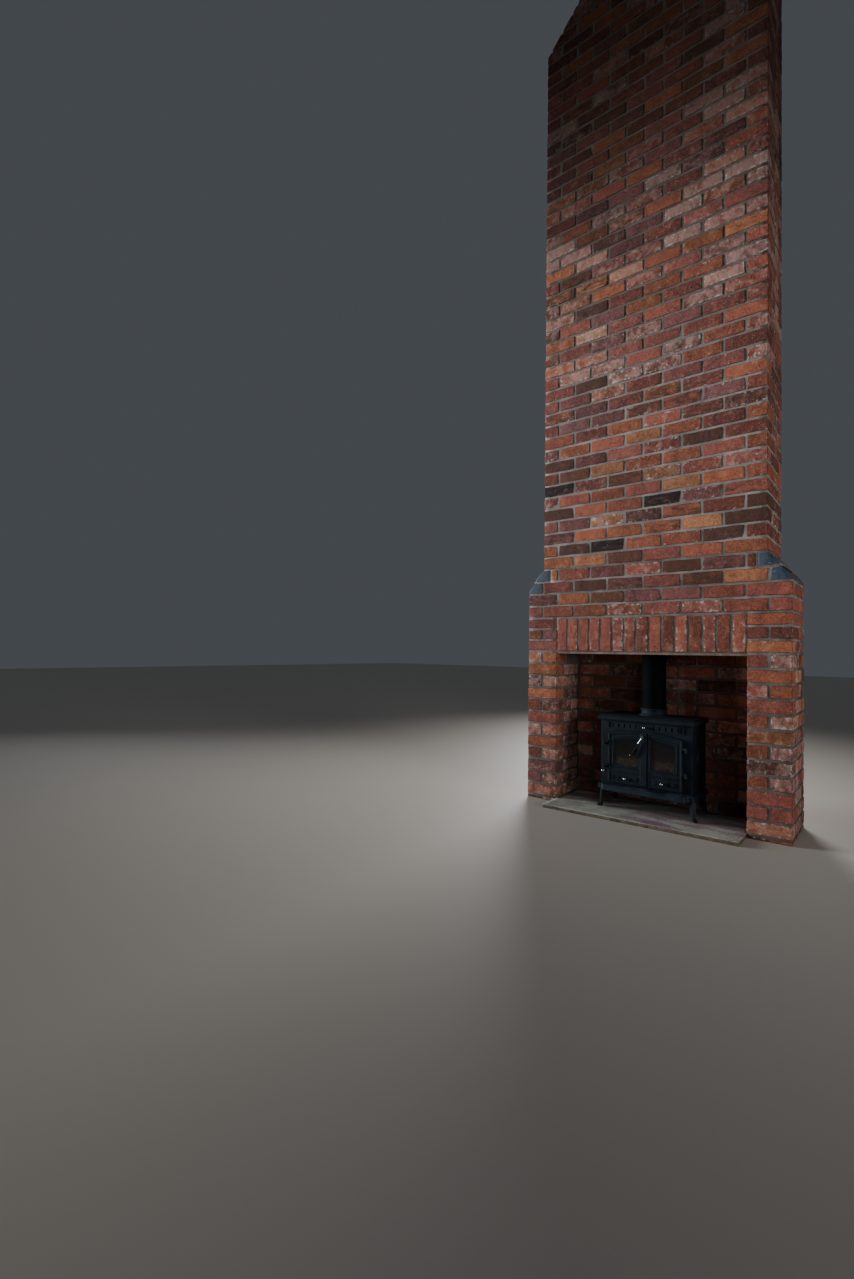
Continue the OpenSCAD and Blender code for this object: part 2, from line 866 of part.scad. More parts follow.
// Doors
module knuckle(side, z) {
    x = side * x_hinge;
    reach = side * (half_doors - 4);
    difference() {
        union() {
            translate([x, y_hinge, z + run_gap])
                cylinder(r = knuckle_r, h = knuckle_h);
            block(min(x, reach), max(x, reach), y_hinge - knuckle_r / 2, y_hinge + knuckle_r,
                z + run_gap, z + run_gap + knuckle_h);
            block(min(reach, side * half_doors), max(reach, side * half_doors), y_hinge - knuckle_r / 2,
                y_door + 1, z + run_gap, z + run_gap + knuckle_h);
        }
        translate([x, y_hinge, z - 1])
            cylinder(r = hinge_pin_r + run_gap, h = knuckle_h + 4);
    }
}

// One door leaf, drawn for the side it hangs on: inner is its free edge, glass_x the inner glass edge
module door_leaf(side, inner, glass_x, toward) {
    outer = side * half_doors;
    x0 = min(outer, inner);
    x1 = max(outer, inner);
    g_out = side * (half_doors - glass_side);
    g0 = min(g_out, glass_x);
    g1 = max(g_out, glass_x);
    z_glass = z_door + glass_sill;
    z_rail = z_door + rail_z;
    w_left = side < 0 ? frame_w : edge_w;
    w_right = side < 0 ? edge_w : frame_w;
    bead = 8;
    difference() {
        union() {
            upright(y_door, door_t)
                arched(x0, x1, z_door, 0);
            raised_frame(x0, x1, z_door, 0, frame_w, w_left, w_right, bead_h);
            raised_frame(g0 - 2 * bead, g1 + 2 * bead, z_glass - 2 * bead, glass_top - 2 * bead,
                bead, bead, bead, bead_h - 1.5);
            translate([x0 + 3, 0, 0])
                rotate([90, 0, 90])
                    linear_extrude(height = x1 - x0 - 6)
                        polygon(swapped(strip(z_rail, z_rail + 2 * bead_h, y_door, bead_h)));
            for (z = hinge_levels)
                knuckle(side, z);
        }
        upright(y_bead - 1, door_t + bead_h + 2)
            arched(g0, g1, z_glass, glass_top);
        upright(y_door_back - glass_t - 2, glass_t + 3)
            arched(g0 - glass_lap, g1 + glass_lap, z_glass - glass_lap, glass_top - glass_lap);
        upright(y_bead - 1, door_t + bead_h + 2) {
            slot_row(2, 1, vent_pitch, side * vent_x, z_vent, vent_slot_w, vent_h);
            stud_slot(side * vent_x, z_vent, vent_travel, toward);
        }
    }
}

module left_door() {
    at_stove()
        color(iron_colour)
            difference() {
                union() {
                    door_leaf(-1, stile_right, stile_left - glass_inner, -1);
                    translate([0, 0, z_door + frame_w / 2])
                        linear_extrude(height = door_h - frame_w)
                            polygon(strip(stile_left, stile_right, y_door, bead_h));
                }
                bar_y(x_spindle, z_spindle, spindle_r + run_gap, y_bead - 1, y_door_back + 1);
            }
}

module right_door() {
    at_stove()
        color(iron_colour)
            door_leaf(1, right_edge, right_edge + glass_inner + 8, 1);
}

module glass(side, glass_x) {
    g_out = side * (half_doors - glass_side);
    at_stove()
        color(glass_colour)
            upright(y_door_back - glass_t - 2, glass_t)
                arched(min(g_out, glass_x) - glass_lap, max(g_out, glass_x) + glass_lap,
                    z_door + glass_sill - glass_lap, glass_top - glass_lap);
}

module left_glass() {
    glass(-1, stile_left - glass_inner);
}

module right_glass() {
    glass(1, right_edge + glass_inner + 8);
}

// Ball knob on a stud, whose washer holds a slider against the plate behind it
module knob_stud(x, z, y_front, y_back) {
    y_ball = y_front - knob_stem - knob_r;
    at_stove()
        color(chrome_colour) {
            bar_y(x, z, stud_r, y_ball, y_back + run_gap + washer_t);
            bar_y(x, z, stud_r + 2, y_front - 3, y_front);
            translate([x, y_ball, z])
                sphere(r = knob_r);
            bar_y(x, z, washer_r, y_back + run_gap, y_back + run_gap + washer_t);
        }
}

// Slider plate with its slots and the hole that its knob's stud is fixed in
module slider_plate(x, y, z, half, h, count, start, pitch, w, slot) {
    at_stove()
        color(iron_colour)
            difference() {
                upright(y, slider_t)
                    difference() {
                        translate([x - half, z - h / 2])
                            square([2 * half, h]);
                        slot_row(count, start, pitch, x, z, w, slot);
                    }
                bar_y(x, z, stud_r, y - 1, y + slider_t + 1);
            }
}

module vent_slider(side) {
    slider_plate(side * vent_x, y_vent, z_vent, vent_half, vent_slider_h, 2, 1, vent_pitch,
        vent_slot_w, vent_h);
}

module left_vent_slider() {
    vent_slider(-1);
}

module right_vent_slider() {
    vent_slider(1);
}

module upper_air_slider() {
    slider_plate(0, y_slider, z_slider, slider_half, slider_h, slot_count, 1.5, slot_pitch,
        slot_w, slot_h);
}

module left_vent_knob() {
    knob_stud(-vent_x, z_vent, y_vent, y_door_back);
}

module right_vent_knob() {
    knob_stud(vent_x, z_vent, y_vent, y_door_back);
}

module upper_air_knob() {
    knob_stud(0, z_slider, y_slider, y_lining);
}

// Places a piece along the handle, from the hub's axis down the shank
module along_handle() {
    translate([x_spindle, y_hub - hub_l + hub_r, z_spindle])
        rotate([0, 180 + handle_lean, 0])
            children();
}

// Hub and spindle through the stile, with a nut behind it and a turned shank below it
module door_handle() {
    taper = 7;
    at_stove()
        color(steel_colour) {
            bar_y(x_spindle, z_spindle, spindle_r, y_hub - 2, y_door_back + run_gap + nut_t);
            bar_y(x_spindle, z_spindle, nut_r, y_door_back + run_gap, y_door_back + run_gap + nut_t);
        }
    at_stove()
        color(chrome_colour) {
            bar_y(x_spindle, z_spindle, hub_r, y_hub - hub_l, y_hub);
            along_handle() {
                cylinder(r = taper, h = hub_r + 4);
                cylinder(r = taper - 2, h = shank_l);
                translate([0, 0, shank_l - 4])
                    cylinder(r = taper, h = 4);
            }
        }
}

// Square bar twisted along its length, with a round button at its end
module handle_grip() {
    at_stove()
        color(iron_colour)
            along_handle() {
                translate([0, 0, shank_l])
                    linear_extrude(height = grip_l, twist = 450, slices = 20, $fn = 4)
                        square(grip_w, center = true);
                translate([0, 0, shank_l + grip_l - 1])
                    cylinder(r = grip_w * 0.62, h = 5, $fn = 24);
            }
}

module riddling_rod() {
    y_ball = y_body - run_gap - 12 - knob_r;
    at_stove()
        color(steel_colour)
            bar_y(x_riddle, z_riddle, riddle_r, y_ball, y_lining + riddle_len);
    at_stove()
        color(chrome_colour)
            translate([x_riddle, y_ball, z_riddle])
                sphere(r = knob_r);
}

hearth_slab();
left_pier();
right_pier();
lintel_bar();
soldier_course();
breast_band();
left_shoulder();
right_shoulder();
shaft_front_wall();
shaft_left_wall();
shaft_right_wall();
back_wall();
register_plate();
left_plate_bracket();
right_plate_bracket();
flue_pipe();
flue_collar();
top_plate();
stove_front();
stove_left_side();
stove_right_side();
stove_back();
base_plate();
front_left_leg();
front_right_leg();
rear_left_leg();
rear_right_leg();
grate();
left_firebrick();
right_firebrick();
rear_firebrick();
baffle_plate();
left_door();
left_glass();
left_vent_slider();
left_vent_knob();
right_door();
right_glass();
right_vent_slider();
right_vent_knob();
upper_air_slider();
upper_air_knob();
door_handle();
handle_grip();
riddling_rod();
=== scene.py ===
# %% [markdown]
# # A brick chimney breast with a cast-iron stove
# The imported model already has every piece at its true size: masonry, flue, stove, doors and sliders.
# This file dresses it. The smooth masonry blocks give way to single bricks and mortar, the hearth to a
# riven stone, and every casting, pane and pipe keeps its shape and gets a finish made of nodes.
# A cell of text like this one comes before each step.

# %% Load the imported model
import math
import random

import bmesh
import bpy
from mathutils import Matrix, Vector, noise


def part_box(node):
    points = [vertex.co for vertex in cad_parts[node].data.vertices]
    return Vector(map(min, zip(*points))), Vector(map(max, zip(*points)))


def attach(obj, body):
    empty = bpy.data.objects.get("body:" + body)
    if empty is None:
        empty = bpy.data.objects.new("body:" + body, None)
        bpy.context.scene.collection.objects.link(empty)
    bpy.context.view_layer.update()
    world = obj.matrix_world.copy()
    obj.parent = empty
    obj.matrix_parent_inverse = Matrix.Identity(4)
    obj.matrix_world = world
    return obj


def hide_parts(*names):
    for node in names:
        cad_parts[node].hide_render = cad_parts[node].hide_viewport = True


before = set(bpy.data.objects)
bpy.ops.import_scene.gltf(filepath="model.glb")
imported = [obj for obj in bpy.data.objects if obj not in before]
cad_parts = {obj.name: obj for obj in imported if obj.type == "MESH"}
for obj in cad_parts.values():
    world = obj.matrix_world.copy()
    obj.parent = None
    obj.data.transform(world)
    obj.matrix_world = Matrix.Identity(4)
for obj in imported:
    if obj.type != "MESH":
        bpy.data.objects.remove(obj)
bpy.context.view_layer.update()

X, Y, Z = 0, 1, 2

# %% [markdown]
# ## Read the wall's sizes from the model
# Brickwork is set out from a few lines: the face, the ends, the height of each bed. The nodes give those
# lines, so nothing here is measured twice. What is new is the brick, its joint, the number of courses and
# the gable's pitch.

# %% Lines and levels of the brickwork
BRICK_LENGTH = 0.230
BRICK_DEPTH = 0.110
JOINT = 0.010
COURSE = 0.087
PITCH = BRICK_LENGTH + JOINT
HALF_PITCH = PITCH / 2
OPENING_COURSES = 12
SOLDIER_ROWS = 3
BAND_ROW = OPENING_COURSES + SOLDIER_ROWS
SPLAY_ROW = BAND_ROW + 2
SHAFT_ROW = SPLAY_ROW + 2
GABLE_PITCH = math.radians(47)

pier_low, pier_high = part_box("left_pier")
soldier_low, soldier_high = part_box("soldier_course")
wall_low, wall_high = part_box("back_wall")
hearth_low, hearth_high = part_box("hearth_slab")
FACE_Y, WALL_Y, REAR_Y = pier_low.y, wall_low.y, wall_high.y
HALF_LOWER = -pier_low.x
HALF_OPEN = -pier_high.x
HALF_UPPER = HALF_LOWER - HALF_PITCH
FOOT = hearth_high.z
LINTEL_Z, BAND_Z = soldier_low.z, soldier_high.z
APEX_Z = wall_high.z
EAVES_Z = APEX_Z - HALF_UPPER * math.tan(GABLE_PITCH)


def bed(course):
    """Height of the middle of the bed joint under a course, counted from the hearth."""
    if course <= OPENING_COURSES:
        return FOOT + course * COURSE
    if course <= BAND_ROW:
        return LINTEL_Z + (course - OPENING_COURSES) * (BAND_Z - LINTEL_Z) / SOLDIER_ROWS
    return BAND_Z + (course - BAND_ROW) * COURSE


LAST_ROW = SHAFT_ROW + int((APEX_Z - bed(SHAFT_ROW)) / COURSE)
print("lintel bed", round(bed(OPENING_COURSES), 3), "shaft starts", round(bed(SHAFT_ROW), 3),
      "eaves", round(EAVES_Z, 3), "courses", LAST_ROW)

# %% [markdown]
# ## Set up the camera
# The photograph was taken with a wide lens, from one side and at about waist height. A camera could be
# moved by eye until it fits, but the picture's straight lines gave its place and its turn more closely,
# and those numbers go straight in here. The axes are built from yaw, pitch and roll, because that is how
# they were found.

# %% Camera
IMAGE_HEIGHT_MM = 36.0
FOCAL_MM = 16.361
FAR = 200
CAMERA_PLACE = Vector((1.326, -3.930, 1.068))
YAW, PITCH_UP, ROLL = (math.radians(a) for a in (39.564, 1.028, 0.663))

flat_ahead = Vector((-math.sin(YAW), math.cos(YAW), 0))
flat_right = Vector((math.cos(YAW), math.sin(YAW), 0))
ahead = math.cos(PITCH_UP) * flat_ahead + math.sin(PITCH_UP) * Vector((0, 0, 1))
upward = -math.sin(PITCH_UP) * flat_ahead + math.cos(PITCH_UP) * Vector((0, 0, 1))
camera_right = math.cos(ROLL) * flat_right + math.sin(ROLL) * upward
camera_up = -math.sin(ROLL) * flat_right + math.cos(ROLL) * upward

lens = bpy.data.cameras.new("photo_camera")
lens.sensor_fit = "VERTICAL"
lens.sensor_height = IMAGE_HEIGHT_MM
lens.lens = FOCAL_MM
lens.clip_end = FAR
camera = bpy.data.objects.new("photo_camera", lens)
camera.matrix_world = Matrix.Translation(CAMERA_PLACE) @ Matrix(
    (camera_right, camera_up, -ahead)).transposed().to_4x4()
bpy.context.scene.collection.objects.link(camera)
bpy.context.scene.camera = camera
print("camera looks along", [round(v, 3) for v in ahead])

# %% [markdown]
# ## One brick at a time
# These are old clay bricks, used for the second time: soft arrises, a knocked corner here and there,
# faces that bow a little. A pattern painted on a flat wall would be quicker, but the light catches real
# arrises and joints, so every brick is laid. A bevelled cube has the form, and a few cuts along its
# length let it bow. Each one stays at a few dozen faces, because the walls need over a thousand of them.
# What changes from brick to brick is kept in attributes on its points, which the finish reads later:
# - at: where a point lies in its own brick, so wear can follow the arrises
# - grain: the same, moved by chance, so that no two bricks share a pattern
# - half: half the brick's size
# - tone: how warm, how burnt and how limed it is
# Both the random numbers and the noise get a seed, because without one Blender's vector noise is another
# one at each run.

# %% A worn brick
SEED = 4712
chance = random.Random(SEED)
noise.seed_set(SEED)
SHRINK = 0.0012
BOW = 0.0028
BOWS_PER_METRE = 25
LONG_ENOUGH = 0.08
GRAIN_SHIFT = 40
ARRIS = (0.003, 0.0055)
CHIP_REACH = 0.026
CHIP_DEPTH = (0.002, 0.006)
FIELDS = ("at", "grain", "half", "tone")


def corner_chips(points, half):
    """Knocks one or two corners in, as stacking and cleaning do."""
    for _ in range(chance.choice((0, 1, 1, 2))):
        corner = Vector([chance.choice((-1, 1)) * h for h in half])
        depth = chance.uniform(*CHIP_DEPTH)
        for v in points:
            near = (v.co - corner).length
            if near < CHIP_REACH:
                v.co -= (corner.normalized() * depth) * (1 - near / CHIP_REACH)


def brick(wall, low, high, tone, cuts=()):
    """Lays one brick into a wall's mesh: its corners in metres, its tone, and planes that cut it."""
    low, high = Vector(low), Vector(high)
    size = high - low
    order = sorted((X, Y, Z), key=lambda k: -size[k])
    half = Vector([size[k] / 2 - SHRINK for k in order])
    bm = bmesh.new()
    bmesh.ops.create_cube(bm, size=2)
    bmesh.ops.scale(bm, vec=half, verts=bm.verts)
    along = [e for e in bm.edges if abs(e.verts[0].co.x - e.verts[1].co.x) > half.x]
    bmesh.ops.subdivide_edges(bm, edges=along, cuts=3 if half.x > LONG_ENOUGH else 1)
    arrises = [e for e in bm.edges if e.calc_face_angle() > 1]
    bmesh.ops.bevel(bm, geom=arrises, offset=chance.uniform(*ARRIS), segments=1, profile=0.5,
                    affect="EDGES", material=-1)
    fields = {name: bm.verts.layers.float_vector.new(name) for name in FIELDS}
    shift = Vector([chance.uniform(0, GRAIN_SHIFT) for _ in range(3)])
    for v in bm.verts:
        v[fields["at"]] = v.co
        v[fields["grain"]] = v.co + shift
        v[fields["half"]] = half
        v[fields["tone"]] = tone
        v.co += noise.noise_vector(v.co * BOWS_PER_METRE + shift) * BOW
    corner_chips(bm.verts, half)
    axes = [Vector([1.0 if k == axis else 0.0 for k in range(3)]) for axis in order]
    if axes[0].cross(axes[1]).dot(axes[2]) < 0:
        axes[2].negate()
    turn = Matrix(axes).transposed().to_4x4()
    bmesh.ops.transform(bm, matrix=Matrix.Translation((low + high) / 2) @ turn, verts=bm.verts)
    for v in bm.verts:
        v.co = [min(max(v.co[k], low[k]), high[k]) for k in (X, Y, Z)]
    for point, outward in cuts:
        trim(bm, point, outward)
    if bm.faces:
        join_to(wall, bm)
    bm.free()


def trim(bm, point, outward):
    """Cuts away what lies outside a plane and closes the cut."""
    bmesh.ops.bisect_plane(bm, geom=bm.verts[:] + bm.edges[:] + bm.faces[:], plane_co=point,
                           plane_no=outward, clear_outer=True)
    rim = [e for e in bm.edges if e.is_boundary]
    if rim:
        bmesh.ops.holes_fill(bm, edges=rim)


def join_to(wall, bm):
    """Adds a finished small mesh to a larger one."""
    loose = bpy.data.meshes.new("one_piece")
    bm.to_mesh(loose)
    wall.from_mesh(loose, face_normals=False)
    bpy.data.meshes.remove(loose)


print("arrises are rounded by", [round(size * 1000, 1) for size in ARRIS], "mm")

# %% [markdown]
# ## Which brick goes where
# A load of reclaimed bricks is a mixture. Every tone could be listed, but only a few dark and buff bricks
# on the front catch the eye, so those are listed by course and place, and chance picks the rest: red and
# orange ones, some plum, a few burnt dark in the kiln. High up and low down, many bricks keep a pink-white
# skin of old limewash. A tone is three numbers from 0 to 1: warmth, burn and lime.

# %% Tones
PLUM, RED, ORANGE, BUFF = 0.12, 0.42, 0.70, 1.0
BLACK, BROWN, SINGED = 1.0, 0.7, 0.42
LISTED = {
    (17, 1): (RED, BROWN, 0), (17, 2): (PLUM, SINGED, 0.3), (18, 2): (PLUM, 0, 0), (18, 3): (RED, 0, 0.9),
    (18, 4): (ORANGE, BROWN, 0), (18, 5): (PLUM, SINGED, 0.3), (19, 2): (ORANGE, BROWN, 0),
    (20, 2): (RED, BLACK, 0), (20, 5): (PLUM, BROWN, 0.2), (21, 0): (PLUM, SINGED, 0),
    (21, 3): (ORANGE, SINGED, 0), (21, 4): (BUFF, 0, 0), (21, 5): (RED, BROWN, 0), (22, 2): (BUFF, 0, 1),
    (22, 3): (PLUM, SINGED, 0.6), (22, 4): (ORANGE, SINGED, 0), (22, 6): (RED, BROWN, 0),
    (23, 0): (RED, BROWN, 0), (23, 3): (RED, BLACK, 0), (23, 4): (PLUM, 0, 0.7), (23, 5): (RED, SINGED, 0),
    (24, 4): (BUFF, 0, 0), (25, 0): (RED, BLACK, 0), (25, 3): (BUFF, 0, 0.8), (26, 1): (ORANGE, BROWN, 0),
    (26, 2): (BUFF, 0, 0), (27, 4): (RED, BROWN, 0),
}
LIMED_COURSES = (*range(OPENING_COURSES), *range(34, 51))
LIMED_SHARE, PLAIN_SHARE = 0.46, 0.18
LOW_LOAD, HIGH_LOAD = (0.07, 0.46, 0.44, 0.03), (0.12, 0.52, 0.33, 0.03)
BURNT_LOAD = (0.865, 0.08, 0.05, 0.005)
SIDE_LIME = 0.45
RECESS_BURNT = 1 / 6


def mixed_tone(course):
    """Picks a brick from the load."""
    load = LOW_LOAD if course < OPENING_COURSES else HIGH_LOAD
    warmth = chance.choices((PLUM, RED, ORANGE, BUFF), load)[0] + chance.uniform(-0.12, 0.12)
    burn = chance.choices((0, SINGED, BROWN, BLACK), BURNT_LOAD)[0] + chance.uniform(0, 0.08)
    limed = chance.random() < (LIMED_SHARE if course in LIMED_COURSES else PLAIN_SHARE)
    lime = chance.uniform(0.4, 1.0) if limed else chance.uniform(0, 0.3)
    return (min(max(warmth, 0), 1), burn, lime)


def limewashed(course):
    """Picks a brick that keeps more of the old limewash, as those in the side faces do."""
    warmth, burn, lime = mixed_tone(course)
    return (warmth, burn, min(lime + SIDE_LIME, 1))


def recess_tone(course):
    """Picks a brick for the back of the recess, where every sixth one is burnt brown."""
    warmth, burn, lime = mixed_tone(course)
    return (warmth, chance.uniform(BROWN, BLACK) if chance.random() < RECESS_BURNT else burn, lime)


def tone_of(course, place):
    """The listed tone of a brick on the front, or one from the load."""
    mixed = mixed_tone(course)
    return LISTED.get((course, place), mixed)


print("bricks picked by hand", len(LISTED))

# %% [markdown]
# ## From bricks to a wall
# A wall could be hundreds of objects, one to a brick. It's one object made of many bricks instead, which
# is quicker to handle, and it rides on the body of the node that it stands for. Smooth shading with
# weighted normals keeps each broad face flat and turns the small bevels into round arrises.

# %% Turning a mesh into a piece
def piece(name, bm, finish, nodes=(), body="breast_and_stove", weighted=True):
    bm.normal_update()
    mesh = bpy.data.meshes.new(name)
    bm.to_mesh(mesh)
    bm.free()
    mesh.polygons.foreach_set("use_smooth", [True] * len(mesh.polygons))
    mesh.materials.append(finish)
    made = bpy.data.objects.new(name, mesh)
    bpy.context.scene.collection.objects.link(made)
    if weighted:
        normals = made.modifiers.new("flat_faces", "WEIGHTED_NORMAL")
        normals.mode = "FACE_AREA"
        normals.weight = 60
    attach(made, body)
    if nodes:
        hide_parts(*nodes)
    print(name, len(mesh.polygons), "faces")
    return made


def run(lengths, start):
    """Sets bricks of these lengths in a row from start: pairs of where each begins and ends."""
    placed = []
    for length in lengths:
        placed.append((start, start + length))
        start += length + JOINT
    return placed


def height(course):
    """Bottom and top of the bricks in a course."""
    return bed(course) + JOINT / 2, bed(course + 1) - JOINT / 2


CLOSER = 0.050
STRETCHER, HALF = BRICK_LENGTH, BRICK_DEPTH
SLOPE_OUT = Vector((math.sin(GABLE_PITCH), 0, math.cos(GABLE_PITCH)))
GABLE = [(Vector((side * HALF_UPPER, 0, EAVES_Z)), Vector((side * SLOPE_OUT.x, 0, SLOPE_OUT.z)))
         for side in (-1, 1)]
SLIVER = 0.004


def under_gable(low, high):
    """The gable's slopes that cut a block, or None where no more than a sliver would be left of it."""
    cuts = []
    for point, outward in GABLE:
        reach = [(Vector((x, 0, z)) - point).dot(outward)
                 for x in (low[X], high[X]) for z in (low[Z], high[Z])]
        if min(reach) > -SLIVER:
            return None
        if max(reach) > 0:
            cuts.append((point, outward))
    return cuts


def lay(wall, low, high, tone):
    """Lays a brick of the shaft, cut to the gable's slope where it meets one."""
    cuts = under_gable(low, high)
    if cuts is not None:
        brick(wall, low, high, tone, cuts)


# %% [markdown]
# ## Finishes to start with
# Brick, splay brick, mortar and stone could get their nodes at once, but the lines of the wall are read
# more easily without them. The walls need something to hold, so the materials are made here by name and
# get their nodes further down.

# %% Empty materials
def named_finish(name):
    """A new material with an empty node tree."""
    made = bpy.data.materials.new(name)
    made.use_nodes = True
    return made


brick_finish = named_finish("reclaimed_brick")
splay_finish = named_finish("blue_splay_brick")
mortar_finish = named_finish("lime_mortar")
hearth_finish = named_finish("riven_hearth_stone")
waiting = (brick_finish, splay_finish, mortar_finish, hearth_finish)
print("waiting for their nodes:", [finish.name for finish in waiting])

# %% [markdown]
# ## The two piers
# Each pier is one brick wide and a brick and a half deep. One course shows a stretcher in front with two
# bricks running back behind it; the next shows two headers. Beside the opening this gives a reveal where
# short and long faces take turns. An Array modifier would repeat one course, knocks and all, so a loop
# lays them one by one. A sliver of cut brick makes up the height of the hearth.

# %% Left and right pier
FRONT_DEPTH = FACE_Y + BRICK_DEPTH
BEHIND = FRONT_DEPTH + JOINT
HEADER_BACK = FACE_Y + BRICK_LENGTH
WALL_JOINT = WALL_Y - JOINT
BED_LIFT = 0.001


def pier_course(wall, x0, course, z0, z1):
    """Lays one course of a pier whose left side is at x0."""
    cells = ((x0, x0 + HALF), (x0 + HALF + JOINT, x0 + STRETCHER))
    if course % 2 == 0:
        brick(wall, (x0, FACE_Y, z0), (x0 + STRETCHER, FRONT_DEPTH, z1), mixed_tone(course))
        for a, b in cells:
            brick(wall, (a, BEHIND, z0), (b, WALL_JOINT, z1), limewashed(course))
    else:
        for a, b in cells:
            brick(wall, (a, FACE_Y, z0), (b, HEADER_BACK, z1), mixed_tone(course))
        brick(wall, (x0, HEADER_BACK + JOINT, z0), (x0 + STRETCHER, WALL_JOINT, z1), limewashed(course))


for side, x0 in (("left", -HALF_LOWER), ("right", HALF_OPEN)):
    wall = bmesh.new()
    pier_course(wall, x0, 1, BED_LIFT, FOOT - JOINT / 2)
    for course in range(BAND_ROW):
        pier_course(wall, x0, course, *height(course))
    piece(side + "_pier_bricks", wall, brick_finish, [side + "_pier"])

# %% [markdown]
# ## The soldier course and the band over it
# Fifteen bricks stand on end over the opening, on a thin lintel that hardly shows. Two plain courses tie
# them to the piers. The soldiers were picked for their even red, so none of the burnt bricks is among
# them. The same helper makes them: it takes the longest side as the brick's length, so their pattern
# runs upwards.

# %% Soldiers and band
SOLDIERS = 15
soldier_pitch = 2 * HALF_OPEN / SOLDIERS
SOLDIER_LIFT = 0.003
SOLDIER_LEAN = 0.001
SOLDIER_TONES = ((0.3, 0.66), (0, 0.12), (0, 0.9))
wall = bmesh.new()
for k in range(SOLDIERS):
    a = -HALF_OPEN + k * soldier_pitch + JOINT / 2
    lean = chance.uniform(-SOLDIER_LEAN, SOLDIER_LEAN)
    picked = tuple(chance.uniform(*span) for span in SOLDIER_TONES)
    brick(wall, (a + lean, FACE_Y, LINTEL_Z + SOLDIER_LIFT),
          (a + soldier_pitch - JOINT + lean, FRONT_DEPTH, LINTEL_Z + SOLDIER_LIFT + BRICK_LENGTH), picked)
piece("soldier_bricks", wall, brick_finish, ["soldier_course"])

wall = bmesh.new()
for course, lengths in ((BAND_ROW, [HALF] + [STRETCHER] * 6 + [HALF]), (BAND_ROW + 1, [STRETCHER] * 7)):
    z0, z1 = height(course)
    for place, (a, b) in enumerate(run(lengths, -HALF_LOWER)):
        depth = BRICK_DEPTH if b - a > BRICK_DEPTH + JOINT else BRICK_LENGTH
        brick(wall, (a, FACE_Y, z0), (b, FACE_Y + depth, z1), tone_of(course, place))
    start = HEADER_BACK + JOINT if course == BAND_ROW else BEHIND
    for x0 in (-HALF_LOWER, HALF_LOWER - HALF):
        brick(wall, (x0, start, z0), (x0 + HALF, WALL_JOINT, z1), mixed_tone(course))
piece("band_bricks", wall, brick_finish, ["breast_band"])

# %% [markdown]
# ## The shoulders
# The breast steps in by half a brick on each side. Blue splay bricks carry the step: an upright nose,
# then a slope. A plain brick cut by one plane gives that shape, so the same helper does it. Three of
# them, end on, run back to the wall in each of two courses.

# %% Splay bricks
SPLAY_LENGTH = 0.110
SPLAY_NOSE = 0.024
SPLAY_TONE = (0.5, 0, 0.3)
splay_run = HALF_PITCH / 2


def splay_slope(side, course):
    """Point and outward direction of the slope of one splay course."""
    x = side * (HALF_LOWER - (course - SPLAY_ROW) * splay_run)
    rise = COURSE - SPLAY_NOSE
    return Vector((x, 0, bed(course) + SPLAY_NOSE)), Vector((side * rise, 0, splay_run)).normalized()


for side_name, side in (("left", -1), ("right", 1)):
    wall = bmesh.new()
    for course in (SPLAY_ROW, SPLAY_ROW + 1):
        z0, z1 = height(course)
        slope = splay_slope(side, course)
        outer = slope[0].x
        inner = outer - side * SPLAY_LENGTH
        for a, b in run([HALF] * 3, FACE_Y):
            brick(wall, (min(outer, inner), a, z0), (max(outer, inner), b, z1), SPLAY_TONE, [slope])
    piece(side_name + "_splay_bricks", wall, splay_finish, [side_name + "_shoulder"])

# %% [markdown]
# ## The shaft
# Above the shoulders the shaft is six bricks wide in plain stretcher bond. Where a course ends in a half
# brick, that brick is really a long one that turns the corner, so the side shows its full length. At the
# top each course is cut to the gable's two slopes. A Boolean could do that for the whole wall, but a plane
# through each brick is quicker and always leaves it closed.

# %% Shaft walls
wall = bmesh.new()
for course in range(SPLAY_ROW, LAST_ROW + 1):
    z0, z1 = height(course)
    if course == SPLAY_ROW:
        lengths = [STRETCHER] * 6
    elif course == SPLAY_ROW + 1:
        lengths = [CLOSER] + [STRETCHER] * 5 + [CLOSER]
    else:
        lengths = [STRETCHER] * 6 if course % 2 else [HALF] + [STRETCHER] * 5 + [HALF]
    span = sum(lengths) + JOINT * (len(lengths) - 1)
    for place, (a, b) in enumerate(run(lengths, -span / 2)):
        turns = course >= SHAFT_ROW and b - a < STRETCHER - JOINT
        lay(wall, (a, FACE_Y, z0), (b, HEADER_BACK if turns else FRONT_DEPTH, z1), tone_of(course, place))
piece("shaft_front_bricks", wall, brick_finish, ["shaft_front_wall"])

for side, x0 in (("left", -HALF_UPPER), ("right", HALF_UPPER - HALF)):
    wall = bmesh.new()
    for course in range(SHAFT_ROW, LAST_ROW + 1):
        z0, z1 = height(course)
        start = BEHIND if course % 2 else HEADER_BACK + JOINT
        lay(wall, (x0, start, z0), (x0 + HALF, WALL_JOINT, z1), limewashed(course))
    piece("shaft_" + side + "_bricks", wall, brick_finish, ["shaft_" + side + "_wall"])

# %% [markdown]
# ## The back wall
# One wall closes the recess, the flue and the back. It's half a brick thick, so its stretchers show on
# both faces. In the recess the bond is less regular than on the front: here and there two halves take
# the place of a long brick. The recess is dark and no brick in it stands out, so chance picks which.

